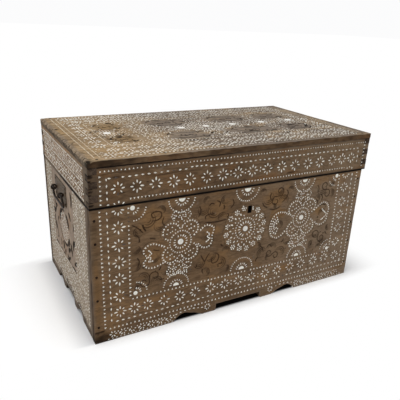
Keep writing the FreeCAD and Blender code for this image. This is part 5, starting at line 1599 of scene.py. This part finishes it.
def top_inlay():
    inlay = Inlay(101, top_shine)
    for u in LID_PEARLS:
        inlay.keep_bare(in_circle((u, TOP_MIDDLE), LID_PEARL_RADIUS + 1.5))
    low_u, high_u = SLAB_SPAN[0] + 36, SLAB_SPAN[1] - 36
    inlay.keep_bare(lambda u, v: not low_u <= u <= high_u)
    string_low, string_high = SLAB_SPAN[0] + TOP_FRAME, SLAB_SPAN[1] - TOP_FRAME
    low_v, high_v = TOP_BORDER, SLAB_WIDTH - TOP_BORDER
    past = STRING_WIDTH + 2
    for v in (low_v, high_v - STRING_WIDTH):
        inlay.keep_bare(in_box(string_low - 2, string_high + 2, v - 2, v + past))
    for u in (string_low, string_high - STRING_WIDTH):
        inlay.keep_bare(in_box(u - 2, u + past, low_v, high_v))
    for ellipse in BARE_OVALS:
        inlay.keep_bare(lambda u, v, e=ellipse: in_ellipse(u, v, e, 0.4 + 1.0 * noise(u, v, 15, 77)))
    right = high_u - 2
    for flip in (False, True):
        def at(v):
            return SLAB_WIDTH - v if flip else v
        inlay.row("petal", (40, at(14)), (right, at(14)), 8.8, 5.2, 3.2)
        inlay.row("triangle", (90, at(89)), (right - 50, at(89)), 9.0, *TRIANGLE, turn=90)
        for u in np.arange(56, right - 8, 33.0):
            inlay.rosette((u, at(34)), 15)
            inlay.chip("dot", u, at(34), 0, 4.8, 4.8)
            inlay.rosette((u + 16.5, at(66)), 15, only_free=True)
            inlay.chip("dot", u + 16.5, at(66), 0, 4.8, 4.8)
            inlay.ring("dot", (u + 16.5, at(40)), 5.4, 4, 3.8, 3.4, only_free=True)
    for v in np.arange(104, SLAB_WIDTH - 96, 34.0):
        for u in (SLAB_SPAN[0] + 57, SLAB_SPAN[1] - 57):
            inlay.rosette((u, v), 14)
            inlay.chip("dot", u, v, 0, *TRIANGLE)
    for k, u in enumerate(LID_PEARLS):
        centre = (u, TOP_MIDDLE)
        inlay.ring("petal", centre, LID_PEARL_RADIUS + 7, 14, 6.4, 2.7)
        if k == 2:
            for step, radius in enumerate((28, 37, 46, 55)):
                kind = ("dot", "petal")[step % 2]
                inlay.ring(kind, centre, radius, round(radius * math.tau / 7.4), 4.6, 3.0, only_free=True)
        else:
            inlay.ring("triangle", centre, LID_PEARL_RADIUS + 16, 22, *SMALL, only_free=True)
    for u, v in TOP_CLUSTERS:
        inlay.fill(in_circle((u, v), 9), (u - 9, v - 9), (u + 9, v + 9), 5.2, 5.4, 3.8)

    field = in_box(string_low, string_high, low_v, high_v)
    everywhere = in_box(-math.inf, math.inf, -math.inf, math.inf)
    sparse_until = 170

    def close(u, v):
        return field(u, v) and u > sparse_until

    def sparse(u, v):
        return field(u, v) and u <= sparse_until

    # Region, low corner, high corner, pitch, length, width and share of the shine
    for region in (
        (close, (string_low, low_v), (string_high, high_v), 8.4, 4.4, 2.7, 0.72),
        (sparse, (string_low, low_v), (180, high_v), 12, 4.2, 2.5, 0.55),
        (lambda u, v: u > 150, (low_u, 20), (right, low_v - 8), 16.0, 4.4, 2.8, 0.6),
        (everywhere, (low_u, high_v + 8), (right, SLAB_WIDTH - 16), 9.6, 4.2, 2.7, 0.8),
        (everywhere, (string_high + 4, 16), (right, SLAB_WIDTH - 16), 9.4, 4.2, 2.7, 1.0),
        (everywhere, (low_u + 1, 20), (string_low - 3, SLAB_WIDTH - 20), 14, 4.2, 2.8, 0.5),
    ):
        inlay.fill(*region)
    return inlay


# Three places and half width of single cuts
TOP_CUTS = (
    ((134, 304), (140, 309), (147, 303), 4.5), ((113, 168), (120, 164), (126, 169), 4.5),
    ((90, 160), (94, 152), (98, 146), 3.0), ((248, 92), (262, 86), (276, 88), 4.0),
    ((290, 90), (300, 95), (312, 94), 4.5), ((322, 276), (342, 270), (362, 261), 5.5),
    ((335, 131), (346, 140), (356, 144), 4.5), ((372, 133), (379, 131), (385, 135), 4.0),
    ((440, 122), (452, 128), (468, 120), 5.5), ((452, 176), (464, 171), (474, 164), 4.5),
    ((510, 122), (516, 119), (521, 124), 4.5), ((502, 256), (506, 266), (503, 276), 4.5),
    ((432, 312), (440, 306), (450, 309), 4.5), ((442, 237), (452, 233), (462, 236), 4.0),
    ((584, 310), (591, 314), (598, 309), 5.0), ((562, 124), (570, 120), (578, 124), 4.5),
    ((582, 152), (592, 156), (602, 150), 5.5), ((618, 126), (632, 136), (636, 154), 4.5),
    ((586, 102), (594, 98), (602, 102), 4.5), ((618, 252), (632, 256), (640, 246), 4.5),
    ((522, 86), (528, 82), (534, 86), 4.5), ((364, 304), (369, 298), (374, 304), 4.5),
    ((236, 248), (248, 252), (258, 244), 3.6), ((258, 306), (266, 310), (276, 302), 4.0),
)
# V, start and length of the checks in the slab's left end
TOP_CHECKS = (
    (36, 16, 50), (58, 6, 30), (78, 2, 40), (96, 14, 44), (121, 2, 40), (150, 10, 46), (172, 3, 34),
    (195, 12, 48), (220, 4, 38), (251, 2, 40), (290, 12, 34), (322, 6, 34), (356, 3, 34),
)
# V, start and end of the long fine cracks
TOP_CRACKS = ((208, 230, 300), (118, 255, 345), (300, 380, 470), (11, 120, 330), (8, 430, 560))


def carve_oval(carving, centre, half_u, half_v):
    """Four arcs inside an oval's rim, an S in its middle, three waves and four commas."""
    u, v = centre
    hand = 1 if (u + v) % 4 < 2 else -1
    for start in (25, 115, 205, 295):
        angles = [math.radians(start + t) for t in (0, 22, 44)]
        arc = [(u + 0.86 * half_u * math.cos(a), v + 0.86 * half_v * math.sin(a)) for a in angles]
        carving.stroke(arc, 2.4, 1.2, (0.4, 0.4))
    carving.scroll(centre, 22, 20 * hand, hand)
    for k in (-1, 0, 1):
        wave = []
        for t in (-0.7, -0.35, 0, 0.35, 0.7):
            wave.append((u + half_u * t, v + 0.5 * half_v * k + 3 * math.sin(5 * t + 2 * k)))
        carving.stroke(wave[(k + 1) // 2:5 - (k == 0)], 2.6, 1.0, (0.4, 0.4))
    for k in (-1, 1):
        carving.comma((u + k * half_u * 0.55, v + 10 * hand * k), 12, 180 + 50 * k, half=2.8)
        carving.comma((u + k * half_u * 0.5, v - 14 * hand * k), 10, 50 * k, half=2.4)


def top_carving():
    carving = Carving()
    for centre, halves in BARE_OVALS:
        carve_oval(carving, centre, *halves)
    for *points, half in TOP_CUTS:
        carving.stroke(points, half, 1.5, (0.4, 0.4))
    for radius in (29, 38):
        for start in (20, 110, 200, 290):
            arc = [polar((LID_PEARLS[0], TOP_MIDDLE), radius, start + t) for t in (0, 25, 50)]
            carving.stroke(arc, 2.2, 1.2)
    for v, start, length in TOP_CHECKS:
        carving.stroke(bowed(start, start + length, v, 1.2, 0.6), 1.5, 1.0, (0.3, 0.6))
    for k in range(46):
        v = 8 + 8.7 * k
        start = SLAB_SPAN[0] + 1 + 4 * math.sin(k * 2.1)
        carving.stroke(((start, v), (start + 4, v), (start + 9 + 4 * math.sin(k * 1.3), v + 0.4)), 1.5, 1.1)
    for v, start, end in TOP_CRACKS:
        carving.stroke(bowed(start, end, v, 2, 1), 1.2, 0.7)
    carving.age(103, (22, 8), (SLAB_SPAN[1] - 8, SLAB_WIDTH - 8), 90, 70)
    carving.dent((SLAB_SPAN[0] + 4, 3.5), 4.5, 3.5)
    return carving


def top_ground(u, v):
    """1 in the bare ovals, with a ragged rim, and 0 between them."""
    inside = np.zeros(np.shape(u))
    for (a, b), (half_u, half_v) in BARE_OVALS:
        far = ((u - a) / half_u) ** 2 + ((v - b) / half_v) ** 2 - 0.9 * (noise(u, v, 15, 77) - 0.5)
        inside = np.maximum(inside, 1 - smooth(far, 0.6, 1.1))
    return inside


TOP_WARM = (((6, 262), (20, 48)), ((50, 70), (30, 22)), ((124, 268), (30, 26)), ((122, 142), (28, 24)))


def slab_round(u, v):
    """The left end is worn far rounder than the other edges."""
    return 1 + 2.6 * (1 - smooth(u - SLAB_SPAN[0], 7, 14))


def slab_wear(u, v):
    """Grey along the left end and in the bare ovals."""
    ragged = 5 * noise(u, v, 8, 12)
    left_end = 0.8 * (1 - smooth(u - SLAB_SPAN[0], 2 + ragged, 8 + ragged))
    return np.maximum(left_end, 0.85 * top_ground(u, v) * smooth(u, 160, 220))


def slab_shade(u, v):
    """Darker at the left end, at the front left corner and along the front edge beside it, and a little in
    the bare ovals.
    """
    left_end = 0.25 * (1 - smooth(u - SLAB_SPAN[0], 2, 9)) * noise(u, v, 6, 13)
    corner = 0.6 * (1 - smooth(np.hypot(u - SLAB_SPAN[0], v), 6, 22))
    front = 0.5 * (1 - smooth(u, 50, 130)) * (1 - smooth(v, 1, 4)) * (0.5 + noise(u, v, 14, 17))
    corner = np.clip(np.maximum(corner, front), 0, 0.9)
    return np.maximum(np.maximum(left_end, corner), 0.05 * top_ground(u, v))


inlay = top_inlay()
top_grid = Grid(lines(*SLAB_SPAN, 4.0, (SLAB_SPAN[0], 660), 1.5), lines(0, SLAB_WIDTH, 1.8))
board("lid_top", "lid", top_face, top_grid, TOP - RAIL_TOP, 1.4,
      [slab_wood, slab_end, dark_inside, slab_edge], cuts=top_carving().cuts, ground=top_ground,
      chips=inlay.chips, under_edge=0.8, seed=102, edge_share=slab_round, wear=slab_wear, shade=slab_shade,
      tint=patches(TOP_WARM))
inlay.build("lid_top_inlay", "lid", top_face)

# Finishes of the CAD nodes that stay

NAILS_IN_WOOD = ("front_corner_nails", "back_corner_nails", "lid_top_nails", "floor_nails")
# Widths of the bevels in millimetres
BEVELLED = {
    "front_pearls": 0.3,
    "lid_pearls": 0.3,
    "floor_plank_front": 0.8,
    "floor_plank_back": 0.8,
    "left_handle_plate": 0.35,
    "right_handle_plate": 0.35,
    "lock_case": 0.5,
    "lock_plate": 0.3,
}


def finish_of(name):
    """The material of a CAD node that stays."""
    if name.endswith("_pearls"):
        return large_pearl
    if name == "lid_strings":
        return bone
    if name in ("floor_cleat_left", "floor_cleat_right"):
        return dark_across
    if name.startswith(("floor_cleat", "floor_plank")):
        return dark_inside
    if name.endswith(("_bail", "_handle_staples")):
        return bail_iron
    if name in NAILS_IN_WOOD:
        return nail_iron
    return lock_iron if name.startswith("lock_") else aged_iron


for name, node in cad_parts.items():
    if not name.endswith(("_board", "_rail")) and name != "lid_top":
        node.data.materials.clear()
        node.data.materials.append(finish_of(name))
        if name in BEVELLED:
            modifier = node.modifiers.new("worn_edges", "BEVEL")
            modifier.width = BEVELLED[name] * MM
            modifier.segments = 2
            modifier.limit_method = "ANGLE"
            modifier.angle_limit = math.radians(40)

# Stage

# The shift and the inset are in millimetres, the other lengths in metres
STAGE_SIZE = 30.0
SHADOW_REACH = (0.03, 0.205)
SHADOW_SHARES = (1.0, 5.0, 1.0)
SHADOW_SHIFT = -22.0
# Reach of the painted grey contact shadow, and inset and fade of the floor painted near-black under the chest
PAINTED_CONTACT_REACH = 0.055
STAGE_INSET = (22.0, 8.0)
PAINTED_UNDER_FADE = 0.007


def seen_straight(tree):
    """1 for rays from the camera and from shiny or clear things, and 0 for those that give light."""
    rays = tree.nodes.new("ShaderNodeLightPath").outputs
    seen = rays["Is Camera Ray"]
    for name in ("Is Glossy Ray", "Is Transmission Ray"):
        seen = add_node(tree, "ShaderNodeMath", 0, {0: seen, 1: rays[name]}, operation="MAXIMUM")
    return seen


def stage_floor():
    """White paper, painted near-black under the chest and with a painted grey contact shadow round its foot.
    It turns into the white surroundings where the chest's shadow ends.
    """
    mesh = bpy.data.meshes.new("stage_floor")
    square = [(STAGE_SIZE * x, STAGE_SIZE * y, 0) for x, y in ((-1, -1), (1, -1), (1, 1), (-1, 1))]
    mesh.from_pydata(square, [], [(0, 1, 2, 3)])
    floor = bpy.data.objects.new("stage_floor", mesh)
    bpy.context.scene.collection.objects.link(floor)
    shader = Shader("stage_white")
    foot = ((LENGTH / 2 - STAGE_INSET[0]) * MM, (DEPTH / 2 - STAGE_INSET[1]) * MM, 0.0)

    def from_foot(shift):
        """How far past the chest's foot a place is, along x and y, with the foot shifted along x."""
        middle = (((LEFT + RIGHT) / 2 + shift) * MM, (FRONT + BACK) / 2 * MM, 0.0)
        apart = shader.vector("ABSOLUTE", shader.vector("SUBTRACT", shader.where, middle))
        return shader.vector("MAXIMUM", shader.vector("SUBTRACT", apart, foot), (0.0, 0.0, 0.0))

    # Painted shadow: near-black under the chest, grey round its foot
    under = shader.step(shader.vector("LENGTH", from_foot(0)), 0.0, PAINTED_UNDER_FADE, 1.0, 0.0)
    away = shader.vector("LENGTH", shader.vector("MULTIPLY", from_foot(SHADOW_SHIFT), SHADOW_SHARES))
    painted_contact_shadow = shader.step(away, 0.0, PAINTED_CONTACT_REACH, 1.0, 0.0)
    white, grey, shade = (0.95, 0.95, 0.95, 1), (0.74, 0.74, 0.75, 1), (0.004, 0.0035, 0.003, 1)
    paper = shader.mix(under, shader.mix(painted_contact_shadow, white, grey), shade)
    shader.finish(paper, 0.9, specular=0.1)
    glow = add_node(shader.tree, "ShaderNodeEmission", 0, {"Color": (1, 1, 1, 1)})
    share = shader.sum("MULTIPLY", seen_straight(shader.tree), shader.step(away, *SHADOW_REACH))
    feeds = {0: share, 1: shader.surface.outputs[0], 2: glow}
    blend = add_node(shader.tree, "ShaderNodeMixShader", 0, feeds)
    feed(shader.tree, shader.tree.nodes["Material Output"].inputs["Surface"], blend)
    mesh.materials.append(shader.material)


def stage_world(ambient):
    """A white background for the camera, and a dimmer even light on the chest."""
    world = bpy.data.worlds.new("studio")
    bpy.context.scene.world = world
    world.use_nodes = True
    tree = world.node_tree
    tree.nodes.clear()
    dim = add_node(tree, "ShaderNodeBackground", 0, {"Strength": ambient})
    bright = add_node(tree, "ShaderNodeBackground", 0, {"Color": (0.97, 0.97, 0.975, 1)})
    mix = add_node(tree, "ShaderNodeMixShader", 0, {0: seen_straight(tree), 1: dim, 2: bright})
    feed(tree, tree.nodes.new("ShaderNodeOutputWorld").inputs["Surface"], mix)


def softbox(name, place, size, power):
    """A square area lamp that faces the middle of the chest."""
    lamp = bpy.data.lights.new(name, "AREA")
    lamp.size = size
    lamp.energy = power
    holder = bpy.data.objects.new(name, lamp)
    bpy.context.scene.collection.objects.link(holder)
    holder.location = place
    aim = Vector((0, 0, 0.2)) - Vector(place)
    holder.rotation_euler = aim.to_track_quat("-Z", "Y").to_euler()


def camera():
    """The photograph's camera, fitted to the corners of body and lid."""
    pitch, yaw, roll = (math.radians(a) for a in (21.05, 30.25, 2.75))
    focal_pixels, frame_pixels, sensor = 467.7, 400.0, 36.0
    centre_shift = (5.88, 0.55)
    offset = Vector((-0.3255, 0.4253, 1.3783)) * LENGTH * MM
    base = Matrix(((1, 0, 0), (0, 0, -1), (0, 1, 0)))
    tilt = Matrix.Rotation(roll, 3, "Z") @ Matrix.Rotation(pitch, 3, "X")
    turn = tilt @ base @ Matrix.Rotation(yaw, 3, "Z")
    lens = bpy.data.cameras.new("camera")
    lens.sensor_width = sensor
    lens.lens = sensor * focal_pixels / frame_pixels
    lens.shift_x = -centre_shift[0] / frame_pixels
    lens.shift_y = centre_shift[1] / frame_pixels
    lens.clip_start = 0.05
    holder = bpy.data.objects.new("camera", lens)
    bpy.context.scene.collection.objects.link(holder)
    axes = Matrix((turn[0], -turn[1], -turn[2])).transposed()
    place = Vector((LEFT * MM, FRONT * MM, 0)) - turn.transposed() @ offset
    holder.matrix_world = Matrix.Translation(place) @ axes.to_4x4()
    bpy.context.scene.camera = holder


stage_floor()
stage_world(0.32)
softbox("softbox_top", (-0.4, -0.3, 2.6), 2.0, 50)
softbox("softbox_left", (-2.5, -0.7, 1.7), 1.6, 26)
softbox("softbox_front", (0.5, -2.6, 2.1), 1.6, 14)
camera()
bpy.context.scene.view_settings.view_transform = "Standard"
